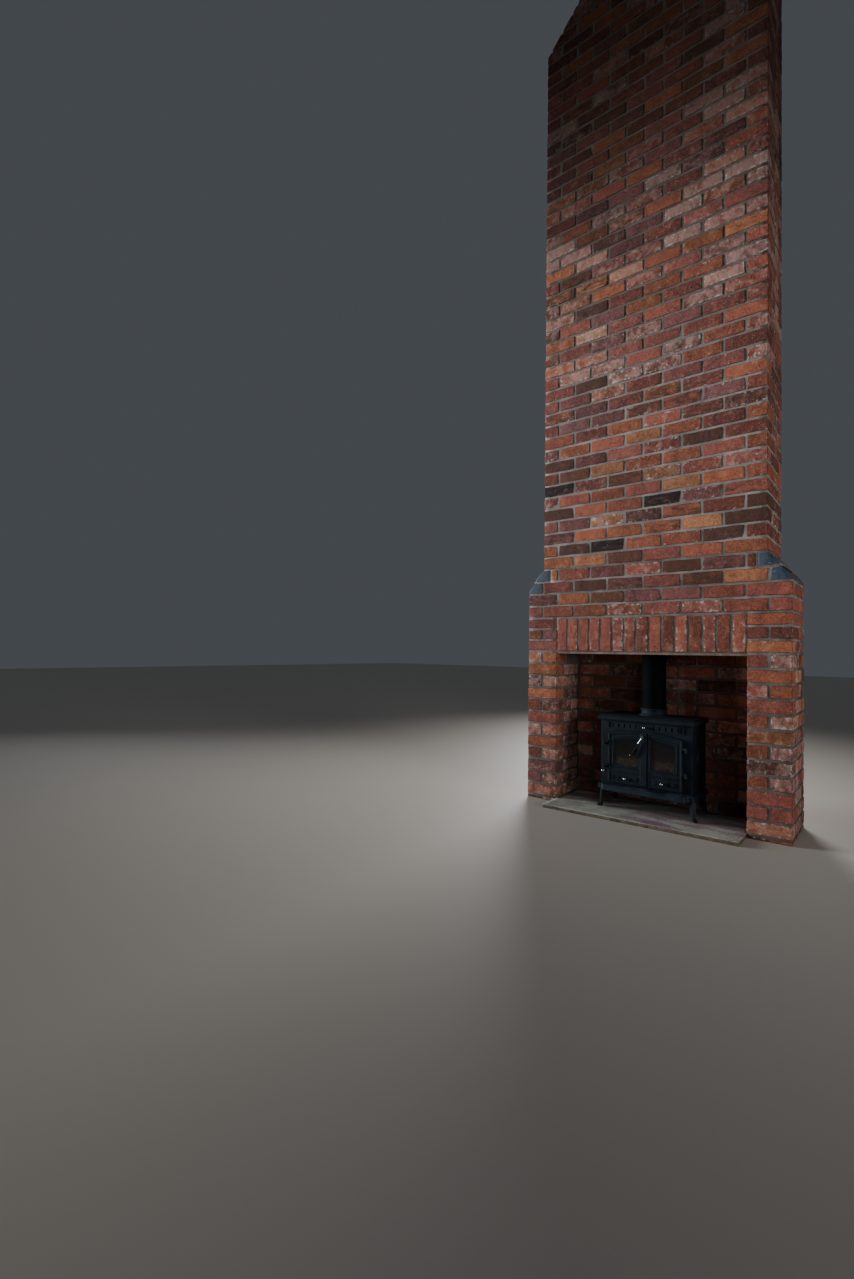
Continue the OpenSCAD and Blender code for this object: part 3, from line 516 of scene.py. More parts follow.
# %% Back wall
HALVES_SHARE = 0.2
wall = bmesh.new()
shoulder_cuts = []
for side in (-1, 1):
    low_point = splay_slope(side, SPLAY_ROW)[0]
    run_in, rise = HALF_PITCH, bed(SHAFT_ROW) - low_point.z
    shoulder_cuts.append((low_point, Vector((side * rise, 0, run_in)).normalized()))
for a, b in run([STRETCHER] * 7, -HALF_LOWER):
    brick(wall, (a, WALL_Y, BED_LIFT), (b, REAR_Y, FOOT - JOINT / 2), mixed_tone(0))
for course in range(LAST_ROW + 1):
    z0, z1 = height(course)
    bricks_wide = 7 if course < SHAFT_ROW else 6
    lengths = [STRETCHER] * bricks_wide
    if course % 2:
        lengths = [HALF] + [STRETCHER] * (bricks_wide - 1) + [HALF]
    if course < OPENING_COURSES:
        lengths = [part for length in lengths for part in (
            (HALF, HALF) if length == STRETCHER and chance.random() < HALVES_SHARE else (length,))]
    span = bricks_wide * PITCH - JOINT
    for a, b in run(lengths, -span / 2):
        low, high = (a, WALL_Y, z0), (b, REAR_Y, z1)
        if course < OPENING_COURSES:
            brick(wall, low, high, recess_tone(course))
        elif course in (SPLAY_ROW, SPLAY_ROW + 1):
            brick(wall, low, high, mixed_tone(course), shoulder_cuts)
        else:
            lay(wall, low, high, mixed_tone(course))
piece("back_wall_bricks", wall, brick_finish, ["back_wall"])

# %% [markdown]
# ## Mortar
# Between the bricks lies lime mortar, struck nearly flush and never quite even. Each joint could be a
# strip of its own, but one block behind all the brick faces shows through as every joint at once. It lies
# a few millimetres back and is cut into cells the size of a trowel's tip, whose points are then pushed in
# and out a little. Blocks that meet reach a little into one another, and each lies at a depth of its own,
# so that no two faces coincide.

# %% Mortar blocks
MORTAR_BACK = 0.0046
MORTAR_CELL = 0.04
MORTAR_SWELL = 0.0012
SWELLS_PER_METRE = 14


def gridded_box(low, high, cells):
    """A box between two corners, each side of it cut into cells of about the given size."""
    bm = bmesh.new()
    bmesh.ops.create_cube(bm, size=1)
    bmesh.ops.scale(bm, vec=high - low, verts=bm.verts)
    bmesh.ops.translate(bm, vec=(low + high) / 2, verts=bm.verts)
    for axis, cell in zip((X, Y, Z), cells):
        along = [e for e in bm.edges if abs((e.verts[0].co - e.verts[1].co).normalized()[axis]) > 0.9]
        cuts = int((high[axis] - low[axis]) / cell) - 1
        if cuts > 0:
            bmesh.ops.subdivide_edges(bm, edges=along, cuts=cuts, use_grid_fill=True)
    return bm


def mortar_piece(name, *blocks):
    """Makes a piece of uneven blocks, each given by two corners and the planes that cut it."""
    body = bmesh.new()
    for low, high, cuts in blocks:
        bm = gridded_box(Vector(low), Vector(high), [MORTAR_CELL] * 3)
        for point, outward in cuts:
            trim(bm, point - outward * MORTAR_BACK, outward)
        for v in bm.verts:
            v.co += noise.noise_vector(v.co * SWELLS_PER_METRE) * MORTAR_SWELL
            v.co.z = max(v.co.z, 0)
        join_to(body, bm)
        bm.free()
    piece(name, body, mortar_finish, weighted=False)


# %% Mortar of the piers, shoulders and shaft sides
TOUCH = 0.003
LINTEL_CLEAR = 0.0005
FRONT = FACE_Y + MORTAR_BACK
SHOULDER_FRONT, SOLDIER_FRONT = FRONT + 0.0006, FRONT + 0.0004
BAND_FRONT, FOOT_FRONT = FRONT + 0.0008, FRONT + 0.0003
BACK = WALL_Y + MORTAR_BACK
REAR = REAR_Y - MORTAR_BACK
WIDE, NARROW = HALF_LOWER - MORTAR_BACK, HALF_UPPER - MORTAR_BACK

for name, side in (("left", -1), ("right", 1)):
    pier_x, splay_x, shaft_x = (sorted((side * outer, side * inner)) for outer, inner in (
        (WIDE, HALF_OPEN + MORTAR_BACK),
        (WIDE, HALF_UPPER - HALF),
        (NARROW, HALF_UPPER - HALF + MORTAR_BACK)))
    mortar_piece(name + "_pier_mortar", (
        (pier_x[0], FRONT, 0), (pier_x[1], BACK + TOUCH, BAND_Z + TOUCH), ()))
    mortar_piece(name + "_shoulder_mortar", *(
        ((splay_x[0], SHOULDER_FRONT, bed(course) - TOUCH), (splay_x[1], BACK, bed(course + 1)),
         [splay_slope(side, course)]) for course in (SPLAY_ROW, SPLAY_ROW + 1)))
    mortar_piece("shaft_" + name + "_mortar", (
        (shaft_x[0], FRONT_DEPTH - TOUCH, bed(SPLAY_ROW)), (shaft_x[1], BACK + TOUCH, APEX_Z), GABLE))

# %% Mortar of the front and the back
inner_face = FRONT_DEPTH - MORTAR_BACK
soldier_half = HALF_OPEN + 2 * TOUCH
mortar_piece("soldier_mortar", ((-soldier_half, SOLDIER_FRONT, LINTEL_Z + LINTEL_CLEAR),
                                (soldier_half, inner_face, BAND_Z + TOUCH), ()))
band_back_width = BRICK_LENGTH - 2 * MORTAR_BACK
mortar_piece("band_mortar", ((-WIDE, BAND_FRONT, BAND_Z), (WIDE, FRONT_DEPTH, bed(SPLAY_ROW)), ()), *(
    ((x, FRONT_DEPTH - TOUCH, BAND_Z), (x + band_back_width, BACK, bed(SPLAY_ROW)), ())
    for x in (-WIDE, HALF_OPEN + MORTAR_BACK)))
foot_half = HALF_UPPER - SPLAY_LENGTH / 2
mortar_piece("shaft_front_mortar",
             ((-foot_half, FOOT_FRONT, bed(SPLAY_ROW)), (foot_half, inner_face, bed(SHAFT_ROW)), ()),
             ((-NARROW, FRONT, bed(SHAFT_ROW) - TOUCH), (NARROW, inner_face, APEX_Z), GABLE))
mortar_piece("back_wall_mortar", ((-WIDE, BACK, 0), (WIDE, REAR, bed(SHAFT_ROW)), shoulder_cuts),
             ((-NARROW, BACK, bed(SHAFT_ROW) - TOUCH), (NARROW, REAR, APEX_Z), GABLE))

# %% [markdown]
# ## The hearth stone
# The stove stands on one broad flag of riven stone. Its top is flat to the hand but not to the eye, and
# its front edge was split and never dressed. It could be sculpted, or pushed about by a Displace
# modifier. Here a box is cut into a fine grid and its points are moved by noise, which leaves every limit
# in sight: nothing may stand above the stone's level, because the stove's feet rest there, so the top
# only dips, and the front edge is only pushed in.

# %% Riven stone
STONE_CELLS = (0.022, 0.022, 0.006)
DIP = 0.0022
DIP_WAVES, RIPPLES = Vector((5, 16, 1)), 38
SPLIT = 0.012
LEDGE_WAVES, LEDGE_SEED, LEDGE_LAYERS, SWEEP = 9, 3.0, 160, 2.3
WORN_ARRIS = 0.004
FOOT_CLEAR = 0.05
HAIR = 0.0001
leg_boxes = [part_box(end + side + "_leg") for end in ("front", "rear") for side in ("_left", "_right")]


def from_feet(co):
    """0 on the spots where the stove's feet rest, 1 away from them."""
    gap = min(max(low.x - co.x, co.x - high.x, low.y - co.y, co.y - high.y) for low, high in leg_boxes)
    return min(max(gap / FOOT_CLEAR, 0), 1)


stone = gridded_box(hearth_low, hearth_high, STONE_CELLS)
for v in stone.verts:
    broad = 0.5 + 0.5 * noise.noise(v.co * DIP_WAVES)
    ripple = 0.5 + 0.5 * noise.noise(v.co * RIPPLES)
    if v.co.z > hearth_high.z - HAIR:
        v.co.z -= DIP * (0.7 * broad + 0.3 * ripple) * from_feet(v.co)
    if v.co.y < hearth_low.y + HAIR:
        ledge = 0.5 + 0.5 * noise.noise(Vector((v.co.x * LEDGE_WAVES, LEDGE_SEED, v.co.z * LEDGE_LAYERS)))
        sweep = 0.4 + 0.6 * noise.noise(Vector((v.co.x * SWEEP, 0, 0))) ** 2
        worn = WORN_ARRIS if v.co.z > hearth_high.z - DIP * 1.5 else 0
        v.co.y += SPLIT * ledge * sweep + worn
piece("hearth_stone", stone, hearth_finish, ["hearth_slab"], weighted=False)
print("stone dips by", DIP * 1000, "mm at most")

# %% [markdown]
# ## Seal ropes
# Behind each door a soft black rope lies in the gap between the leaf and the casting, so that air comes
# only through the vents. It follows the leaf's outline a little way in. A circle could be swept round
# with spin and extrude, but a poly curve with a round bevel turns the corners by itself. It's made a mesh
# and squeezed to the gap's depth.

# %% Door ropes
ROPE_IN, MIDDLE_IN = 0.011, 0.0075
ROPE_WIDE, ROPE_DEEP = 0.0085, 0.0046
ARCH_DROP = 0.027
ARCH_STEPS = 16
GLASS_BORDER = 0.038
rope_finish = named_finish("seal_rope")
plate_low, plate_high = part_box("top_plate")
STOVE_X = (plate_low.x + plate_high.x) / 2
LEAF_HALF = STOVE_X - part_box("left_glass")[0].x + GLASS_BORDER
arch_radius = (LEAF_HALF ** 2 + ARCH_DROP ** 2) / (2 * ARCH_DROP)


def rope_route(low, high, left_in, right_in):
    """The rope's corners seen from the front: along the bottom, up, and back along the shared arch."""
    x0, x1 = max(low.x, STOVE_X - LEAF_HALF) + left_in, min(high.x, STOVE_X + LEAF_HALF) - right_in
    centre = high.z - arch_radius
    route = [(x0, low.z + ROPE_IN), (x1, low.z + ROPE_IN)]
    for k in range(ARCH_STEPS + 1):
        x = x1 + (x0 - x1) * k / ARCH_STEPS
        route.append((x, centre + math.sqrt((arch_radius - ROPE_IN) ** 2 - (x - STOVE_X) ** 2)))
    return route


def seal_rope(name, leaf, body, left_in, right_in):
    """Lays one closed rope round the back of a leaf."""
    low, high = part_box(leaf)
    route = rope_route(low, high, left_in, right_in)
    curve = bpy.data.curves.new(name, "CURVE")
    curve.dimensions = "3D"
    curve.bevel_depth = ROPE_WIDE / 2
    curve.bevel_resolution = 3
    line = curve.splines.new("POLY")
    line.points.add(len(route) - 1)
    for point, (x, z) in zip(line.points, route):
        point.co = (x, 0, z, 1)
    line.use_cyclic_u = True
    holder = bpy.data.objects.new(name + "_line", curve)
    bm = bmesh.new()
    bm.from_mesh(holder.to_mesh())
    bpy.data.objects.remove(holder)
    bmesh.ops.scale(bm, vec=(1, ROPE_DEEP / ROPE_WIDE, 1), verts=bm.verts)
    bmesh.ops.translate(bm, vec=(0, high.y + ROPE_DEEP / 2, 0), verts=bm.verts)
    piece(name, bm, rope_finish, body=body, weighted=False)


seal_rope("left_seal_rope", "left_door", "left_leaf", ROPE_IN, ROPE_IN)
seal_rope("right_seal_rope", "right_door", "right_leaf", MIDDLE_IN, ROPE_IN)

# %% [markdown]
# ## Building finishes from nodes
# A finish could be drawn by hand in the node editor, but a script can't be read there. Here it's a small
# drawing made of noises, ramps and sums. These short helpers put a node in, feed it and hand back what it
# gives, so that each finish below reads as a list of what the eye sees: the main colour, the patches, the
# grain, the dirt, and the small relief that catches the light. Colours are written as a picture shows
# them, with three numbers from 0 to 255.

# %% Helpers for nodes
def linear(colour):
    """A colour as a picture shows it, turned into the linear values that nodes use."""
    return tuple(c / 255 / 12.92 if c <= 10 else ((c / 255 + 0.055) / 1.055) ** 2.4 for c in colour) + (1.0,)


def shader(finish):
    """The finish's own surface shader."""
    return finish.node_tree.nodes["Principled BSDF"]


def feed(socket, value):
    """Sets a socket, or joins another node's output to it."""
    if isinstance(value, bpy.types.NodeSocket):
        socket.id_data.links.new(value, socket)
    else:
        socket.default_value = value


def put(finish, kind, values=None, **settings):
    """Adds a node to a finish."""
    made = finish.node_tree.nodes.new("ShaderNode" + kind)
    for name, value in settings.items():
        setattr(made, name, value)
    for name, value in (values or {}).items():
        feed(made.inputs[name], value)
    return made


# %% Numbers
def reckon(finish, what, *values):
    """One sum, product or comparison of numbers."""
    return put(finish, "Math", dict(enumerate(values)), operation=what).outputs[0]


def times(finish, a, b):
    """Two numbers multiplied: where both patterns are strong."""
    return reckon(finish, "MULTIPLY", a, b)


def plus(finish, value, more, share):
    """A number with a share of another one added."""
    return reckon(finish, "MULTIPLY_ADD", more, share, value)


def between(finish, value, low, high, to_low=0.0, to_high=1.0):
    """Turns the part of a value from low to high into another range, and no further."""
    span = {"Value": value, "From Min": low, "From Max": high, "To Min": to_low, "To Max": to_high}
    return put(finish, "MapRange", span, interpolation_type="SMOOTHSTEP").outputs[0]


# %% Places and patterns
def parts(finish, vector):
    """The three numbers of a vector."""
    made = put(finish, "SeparateXYZ", {"Vector": vector})
    return [made.outputs[k] for k in range(3)]


def field(finish, name):
    """An attribute that the pieces carry, as a vector."""
    return put(finish, "Attribute", attribute_name=name, attribute_type="GEOMETRY").outputs["Vector"]


def own_place(finish):
    """A point's place on its piece."""
    return put(finish, "TexCoord").outputs["Object"]


def facing_up(finish):
    """How far the surface looks upwards, where dust and water lie."""
    return parts(finish, put(finish, "NewGeometry").outputs["Normal"])[Z]


def cloud(finish, place, scale, detail, roughness=0.6, stretch=None):
    """A noise, as large as 1 / scale metres, drawn out where stretch is given."""
    if stretch:
        place = put(finish, "Mapping", {"Vector": place, "Scale": stretch}).outputs[0]
    values = {"Vector": place, "Scale": scale, "Detail": detail, "Roughness": roughness}
    return put(finish, "TexNoise", values).outputs["Fac"]


# %% Colours and relief
def ramp(finish, value, *stops):
    """A colour ramp from pairs of position and colour."""
    made = put(finish, "ValToRGB", {"Fac": value})
    band = made.color_ramp
    for stop, (position, colour) in zip(band.elements, (stops[0], stops[-1])):
        stop.position, stop.color = position, linear(colour)
    for position, colour in stops[1:-1]:
        band.elements.new(position).color = linear(colour)
    return made.outputs["Color"]


def stain(finish, amount, under, over):
    """Lays one colour over another by an amount."""
    made = put(finish, "Mix", data_type="RGBA")
    for socket, value in zip((made.inputs[0], made.inputs[6], made.inputs[7]), (amount, under, over)):
        feed(socket, linear(value) if isinstance(value, tuple) else value)
    return made.outputs[2]


def patch(finish, under, over, pattern, low, high, strength):
    """Lays a colour over another where a pattern rises from low to high."""
    return stain(finish, between(finish, pattern, low, high, 0, strength), under, over)


def coat(finish, colour, roughness, *layers):
    """Feeds the shader its colour, roughness and relief: layers of a height and a depth in metres."""
    normal = None
    for value, depth in layers:
        made = put(finish, "Bump", {"Height": value, "Strength": 1.0, "Distance": depth})
        if normal:
            feed(made.inputs["Normal"], normal)
        normal = made.outputs["Normal"]
    for name, value in (("Base Color", colour), ("Roughness", roughness), ("Normal", normal)):
        feed(shader(finish).inputs[name], value)


print("helpers for nodes are ready")

# %% [markdown]
# ## Old brick
# The clay's main colour goes from plum through red and orange to buff, by the brick's own tone. On it
# lie soft patches, streaks along the brick from the mould, dark kiln burns with a ragged edge, fine
# specks, and a pale bloom of lime that keeps to patches and arrises. One noise laid over the whole wall
# would run on across the joints, so the patterns read the bricks' own attributes instead. The distance to
# the nearest arris comes from them too: of the three gaps to the brick's sides, the middle one is the gap
# to the arris, because the smallest is the face itself.

# %% Where wear, soot and painted shade go
SOOT_SHADE_FROM, SOOT_SHADE_TO = (FACE_Y + 0.16, FACE_Y + 0.32), (WALL_Y + 0.03, WALL_Y + 0.06)
SOOT_SHADE_Z = (1.05, 1.4)


def gap_to_arris(finish):
    """Metres from a point on a brick's face to the nearest arris."""
    a, b, c = [reckon(finish, "SUBTRACT", h, reckon(finish, "ABSOLUTE", at))
               for at, h in zip(parts(finish, field(finish, "at")), parts(finish, field(finish, "half")))]
    smaller, larger = reckon(finish, "MINIMUM", a, b), reckon(finish, "MAXIMUM", a, b)
    return reckon(finish, "MAXIMUM", smaller, reckon(finish, "MINIMUM", larger, c))


def soot_and_recess_shade(finish, place, ragged, strength):
    """Where soot browns the recess and painted shade darkens it: behind the face, in front of the back wall,
    low down.
    """
    _, depth, level = parts(finish, place)
    inside = times(finish, between(finish, depth, *SOOT_SHADE_FROM), between(finish, depth, *SOOT_SHADE_TO, 1, 0))
    low_down = between(finish, plus(finish, level, ragged, 0.3), *SOOT_SHADE_Z, 1, 0)
    return times(finish, times(finish, inside, low_down), strength)


# %% Clay and kiln burns
def brick_patterns(finish):
    """The noises that the layers of a brick share: patches, streaks, blotch, grit, fine grain and bloom."""
    grain = field(finish, "grain")
    patches, blotch = cloud(finish, grain, 15, 4, 0.62), cloud(finish, grain, 55, 4, 0.65)
    streaks = cloud(finish, grain, 30, 4, 0.65, stretch=(0.5, 1, 1.5))
    gritty, fine = cloud(finish, grain, 170, 3, 0.75), cloud(finish, grain, 420, 3, 0.7)
    bloom = cloud(finish, grain, 38, 5, 0.7)
    return patches, streaks, blotch, gritty, fine, bloom


def fired_clay(finish, warmth, burn, patterns):
    """The clay's own colour, lighter or darker from brick to brick, with its grain and its kiln burns."""
    patches, streaks, blotch, gritty, fine, _ = patterns
    drift = reckon(finish, "MULTIPLY_ADD", patches, 0.5, reckon(finish, "SUBTRACT", warmth, 0.25))
    clay = ramp(finish, drift, (0.0, (112, 74, 74)), (0.25, (128, 75, 70)), (0.45, (144, 80, 67)),
                (0.62, (154, 88, 66)), (0.8, (162, 98, 68)), (1.0, (176, 120, 84)))
    pair = {0: field(finish, "grain"), 1: field(finish, "at")}
    own = put(finish, "VectorMath", pair, operation="SUBTRACT")
    whim = cloud(finish, own.outputs[0], 1.0, 0, 0.55)
    mottle = reckon(finish, "ADD", times(finish, patches, 0.5), times(finish, blotch, 0.45))
    light = between(finish, reckon(finish, "ADD", whim, mottle), 0.68, 1.26, 0.5, 1.52)
    clay = put(finish, "HueSaturation", {"Color": clay, "Saturation": 1.02, "Value": light}).outputs["Color"]
    clay = patch(finish, clay, (92, 52, 46), streaks, 0.5, 0.72, 0.45)
    clay = patch(finish, clay, (182, 120, 98), blotch, 0.54, 0.74, 0.45)
    clay = patch(finish, clay, (84, 46, 38), fine, 0.5, 0.7, 0.5)
    clay = patch(finish, clay, (204, 146, 124), gritty, 0.54, 0.68, 0.5)
    clay = stain(finish, between(finish, gritty, 0.36, 0.46, 0.5, 0), clay, (74, 44, 38))
    fired = reckon(finish, "ADD", burn, reckon(finish, "MULTIPLY_ADD", streaks, 1.1, -0.55))
    clay = patch(finish, clay, (80, 56, 46), fired, 0.26, 0.6, 0.82)
    return patch(finish, clay, (40, 34, 34), fired, 0.8, 1.02, 0.92)


# %% Lime, dirt and painted shade
LIMED_Z, SCUFFED_Z, HIGH_SHADE_Z = (2.7, 3.2), (0.9, 1.3), (4.1, 4.9)
NEAR_ARRIS = 0.022


def limed_clay(finish, clay, lime, edge, level, patterns):
    """A thin pink-white veil high up, milky arrises, and flecks of old mortar."""
    patches, _, _, gritty, _, bloom = patterns
    high_up = between(finish, level, *LIMED_Z, 0.2, 0.42)
    low_down = between(finish, level, *SCUFFED_Z, 0.12, 0)
    limed = times(finish, lime, reckon(finish, "ADD", high_up, low_down))
    veil = reckon(finish, "ADD", limed, times(finish, patches, 0.8))
    clay = patch(finish, clay, (200, 160, 146), plus(finish, veil, bloom, 0.5), 0.76, 1.1, 0.66)
    near_edge = between(finish, edge, 0, NEAR_ARRIS, 0.13, 0)
    milky = reckon(finish, "ADD", bloom, plus(finish, near_edge, lime, 0.14))
    clay = patch(finish, clay, (214, 200, 190), milky, 0.72, 0.84, 0.85)
    flecks = times(finish, between(finish, gritty, 0.62, 0.68), between(finish, bloom, 0.52, 0.62))
    return stain(finish, times(finish, flecks, 0.8), clay, (224, 212, 204))


def build_brick(finish):
    """Clay, lime, pits, dirt and painted shade at the arrises, soot and painted shade in the recess, and
    painted shade high up.
    """
    patterns = brick_patterns(finish)
    patches, streaks, blotch, _, fine, _ = patterns
    place, edge = own_place(finish), gap_to_arris(finish)
    level = parts(finish, place)[Z]
    warmth, burn, lime = parts(finish, field(finish, "tone"))
    clay = limed_clay(finish, fired_clay(finish, warmth, burn, patterns), lime, edge, level, patterns)
    pits = put(finish, "TexVoronoi", {"Vector": field(finish, "grain"), "Scale": 48.0}).outputs["Distance"]
    pitted = times(finish, between(finish, pits, 0.1, 0.2, 1, 0), between(finish, blotch, 0.42, 0.56))
    clay = stain(finish, times(finish, pitted, 0.8), clay, (48, 34, 31))
    # Dirt and painted shade at the arrises: darker within a few millimetres of each edge.
    arris_dirt_and_shade = times(finish, between(finish, edge, 0.001, 0.007, 0.8, 0),
                  between(finish, streaks, 0.36, 0.56, 0.35, 1))
    clay = stain(finish, arris_dirt_and_shade, clay, (66, 50, 44))
    # Soot and painted shade darken the bricks inside the recess.
    clay = stain(finish, soot_and_recess_shade(finish, place, patches, 0.3), clay, (56, 44, 35))
    # Painted shade high up, where the light falls off: the bricks darken above about four metres.
    clay = patch(finish, clay, (58, 44, 36), plus(finish, level, patches, 0.6), *HIGH_SHADE_Z, 0.45)
    sunk = times(finish, pitted, -1.0)
    coat(finish, clay, between(finish, fine, 0.3, 0.7, 0.78, 0.95), (patches, 0.008), (streaks, 0.004),
         (blotch, 0.0025), (sunk, 0.002), (fine, 0.0009))
    shader(finish).inputs["Specular IOR Level"].default_value = 0.3


build_brick(brick_finish)
print("brick finish has", len(brick_finish.node_tree.nodes), "nodes")

# %% [markdown]
# ## Blue splay brick
# The splays are engineering bricks, fired hard: blue-grey, closer in grain, with a scatter of pale
# specks and scuffs. They could share the old brick's recipe with other colours, but nearly all its layers
# would have to be switched off, so a short recipe of their own is clearer.

# %% Splay finish
def build_splay(finish):
    """Blue-grey clay with scuffs and specks."""
    grain = field(finish, "grain")
    patches = cloud(finish, grain, 22, 4)
    scuffs, specks = cloud(finish, grain, 60, 5, 0.7), cloud(finish, grain, 520, 2, 0.5)
    body = ramp(finish, patches, (0.3, (44, 56, 68)), (0.55, (62, 76, 90)), (0.75, (86, 98, 110)))
    body = patch(finish, body, (140, 150, 158), scuffs, 0.58, 0.72, 0.7)
    body = patch(finish, body, (190, 192, 190), specks, 0.66, 0.74, 0.8)
    coat(finish, body, between(finish, patches, 0.3, 0.7, 0.5, 0.75), (patches, 0.003), (specks, 0.0006))


build_splay(splay_finish)
print("splay finish has", len(splay_finish.node_tree.nodes), "nodes")

# %% [markdown]
# ## The mortar's look
# Sandy lime mortar, grey where it was rubbed clean low down, splashed brown nearest the floor, and
# browner again higher up, where soot and clay dust stayed. One colour would make it look like plastic, so
# two sizes of grain give it a surface that's dull from every side.

# %% Mortar finish
BROWN_Z, SPLASHED_Z = (2.5, 3.4), (1.7, 2.2)


def build_mortar(finish):
    """Grey below, brown above, with sand and grit."""
    place = own_place(finish)
    level = parts(finish, place)[Z]
    low = ramp(finish, cloud(finish, place, 6, 5, 0.65),
               (0.3, (120, 108, 101)), (0.5, (150, 138, 131)), (0.7, (180, 169, 162)))
    high = ramp(finish, cloud(finish, place, 9, 4), (0.3, (102, 90, 80)), (0.7, (134, 121, 110)))
    tint = stain(finish, between(finish, level, *BROWN_Z), low, high)
    splashed = plus(finish, level, cloud(finish, place, 7, 4, 0.7), 1.6)
    tint = stain(finish, between(finish, splashed, *SPLASHED_Z, 0.62, 0), tint, (78, 62, 54))
    sand, grit = cloud(finish, place, 480, 3, 0.7), cloud(finish, place, 130, 3)
    tint = patch(finish, tint, (84, 74, 66), sand, 0.5, 0.72, 0.45)
    tint = patch(finish, tint, (176, 170, 160), grit, 0.56, 0.72, 0.4)
    # Soot and painted shade darken the mortar inside the recess.
    tint = stain(finish, soot_and_recess_shade(finish, place, grit, 0.5), tint, (54, 46, 40))
    coat(finish, tint, 0.93, (cloud(finish, place, 45, 3), 0.005), (grit, 0.0025), (sand, 0.0008))
    shader(finish).inputs["Specular IOR Level"].default_value = 0.25


build_mortar(mortar_finish)
print("mortar finish has", len(mortar_finish.node_tree.nodes), "nodes")

# %% [markdown]
# ## Hearth stone
# The flag is a grey-green sandstone with plum-pink patches drawn out along its length, as it was laid
# down. It's brown with soot and ash under the stove, where painted shadow darkens it too, and its rough
# split front edge is painted dark with dirt and painted shade. A noise that is stretched one way gives
# such bedding, where a wave texture would give even stripes.

# %% Hearth finish
SHADOW_SOOT_Y, SHADOW_SOOT_X = (-0.09, 0.07), (-0.5, -0.3)


def build_hearth(finish):
    """Sandstone with plum bedding, soot and painted shadow under the stove, dirt and painted shade on the
    split edge, and a little pale ash.
    """
    place = own_place(finish)
    across, depth, _ = parts(finish, place)
    sand, crumbs = cloud(finish, place, 600, 3, 0.7), cloud(finish, place, 110, 4, 0.75)
    base = ramp(finish, cloud(finish, place, 6, 5),
                (0.3, (160, 163, 147)), (0.55, (204, 204, 188)), (0.75, (234, 231, 218)))
    bedding = cloud(finish, place, 4.0, 5, 0.62, stretch=(0.42, 1.7, 1.0))
    base = patch(finish, base, (152, 112, 128), plus(finish, bedding, crumbs, 0.5), 0.71, 0.81, 0.85)
    veins = cloud(finish, place, 9.0, 6, 0.7, stretch=(0.5, 4.0, 1.0))
    base = patch(finish, base, (112, 88, 88), veins, 0.6, 0.72, 0.5)
    base = patch(finish, base, (96, 88, 78), sand, 0.5, 0.75, 0.35)
    # Soot and painted shadow under the stove: darker towards the back, right of the stove's left side.
    soot_and_shadow_under_stove = times(finish, between(finish, plus(finish, depth, crumbs, 0.12), *SHADOW_SOOT_Y, 0, 0.7),
                        between(finish, across, *SHADOW_SOOT_X))
    base = stain(finish, soot_and_shadow_under_stove, base, (64, 58, 48))
    # The split edge, every face that doesn't look up, is painted dark: dirt, and painted shade on the sides.
    split = ramp(finish, cloud(finish, place, 26, 4), (0.35, (74, 60, 44)), (0.65, (124, 112, 90)))
    base = stain(finish, between(finish, facing_up(finish), 0.35, 0.8, 1, 0), base, split)
    ash = times(finish, between(finish, cloud(finish, place, 3.2, 4), 0.56, 0.75, 0, 0.3), facing_up(finish))
    base = stain(finish, ash, base, (196, 192, 182))
    coat(finish, base, between(finish, sand, 0.3, 0.7, 0.7, 0.9),
         (cloud(finish, place, 30, 5), 0.004), (sand, 0.0008))


build_hearth(hearth_finish)
print("hearth finish has", len(hearth_finish.node_tree.nodes), "nodes")

# %% [markdown]
# ## Cast iron, enamel and steel
# The stove keeps its castings, and each gets the look of its own surface. Stove paint on sand-cast iron
# is a blue-black with a dull sheen: pebbly in relief, a shade lighter in broad patches, with a film of
# pale ash where it lies flat. Each metal could have a recipe of its own, but they differ only in colour,
# gloss and dirt, so one recipe with a few settings gives them all.

# %% Painted iron
def build_iron(name, dark, light, shine, pebble, ash=0.1, ash_colour=(120, 126, 132), rust=0.0, gleam=0.5,
               specks=False):
    """Painted or raw iron: two colours, its gloss, its relief, and the ash, rust and specks on it."""
    finish = named_finish(name)
    place = own_place(finish)
    wide, pores = cloud(finish, place, 9, 4), cloud(finish, place, 340, 3)
    paint = ramp(finish, wide, (0.35, dark), (0.65, light))
    paint = patch(finish, paint, (12, 14, 17), pores, 0.56, 0.74, 0.4)
    if rust:
        spots = cloud(finish, place, 42, 5, 0.7)
        paint = patch(finish, paint, (104, 58, 34), spots, 0.72 - 0.2 * rust, 0.8, 0.85)
    lying = between(finish, facing_up(finish), 0.75, 0.98)
    dust = between(finish, cloud(finish, place, 36, 5, 0.7), 0.62 - 0.2 * ash, 0.78, 0, 0.7)
    paint = stain(finish, times(finish, lying, dust), paint, ash_colour)
    if specks:
        dots = between(finish, cloud(finish, place, 190, 2, 0.5), 0.62, 0.65)
        drifts = between(finish, cloud(finish, place, 9, 2, 0.5), 0.44, 0.54)
        paint = stain(finish, times(finish, times(finish, dots, drifts), lying), paint, (206, 206, 202))
    coat(finish, paint, between(finish, wide, 0.3, 0.7, shine, shine + 0.14),
         (cloud(finish, place, 90, 3), pebble * 2), (pores, pebble))
    shader(finish).inputs["Specular IOR Level"].default_value = gleam
    return finish


CAST_PEBBLE = 0.00045
stove_paint = build_iron("stove_paint", (9, 20, 28), (17, 32, 43), 0.5, CAST_PEBBLE, 0.15, gleam=0.28)
base_paint = build_iron("dusty_base_paint", (14, 28, 38), (26, 44, 57), 0.48, CAST_PEBBLE, 0.3, gleam=0.35,
                        specks=True)
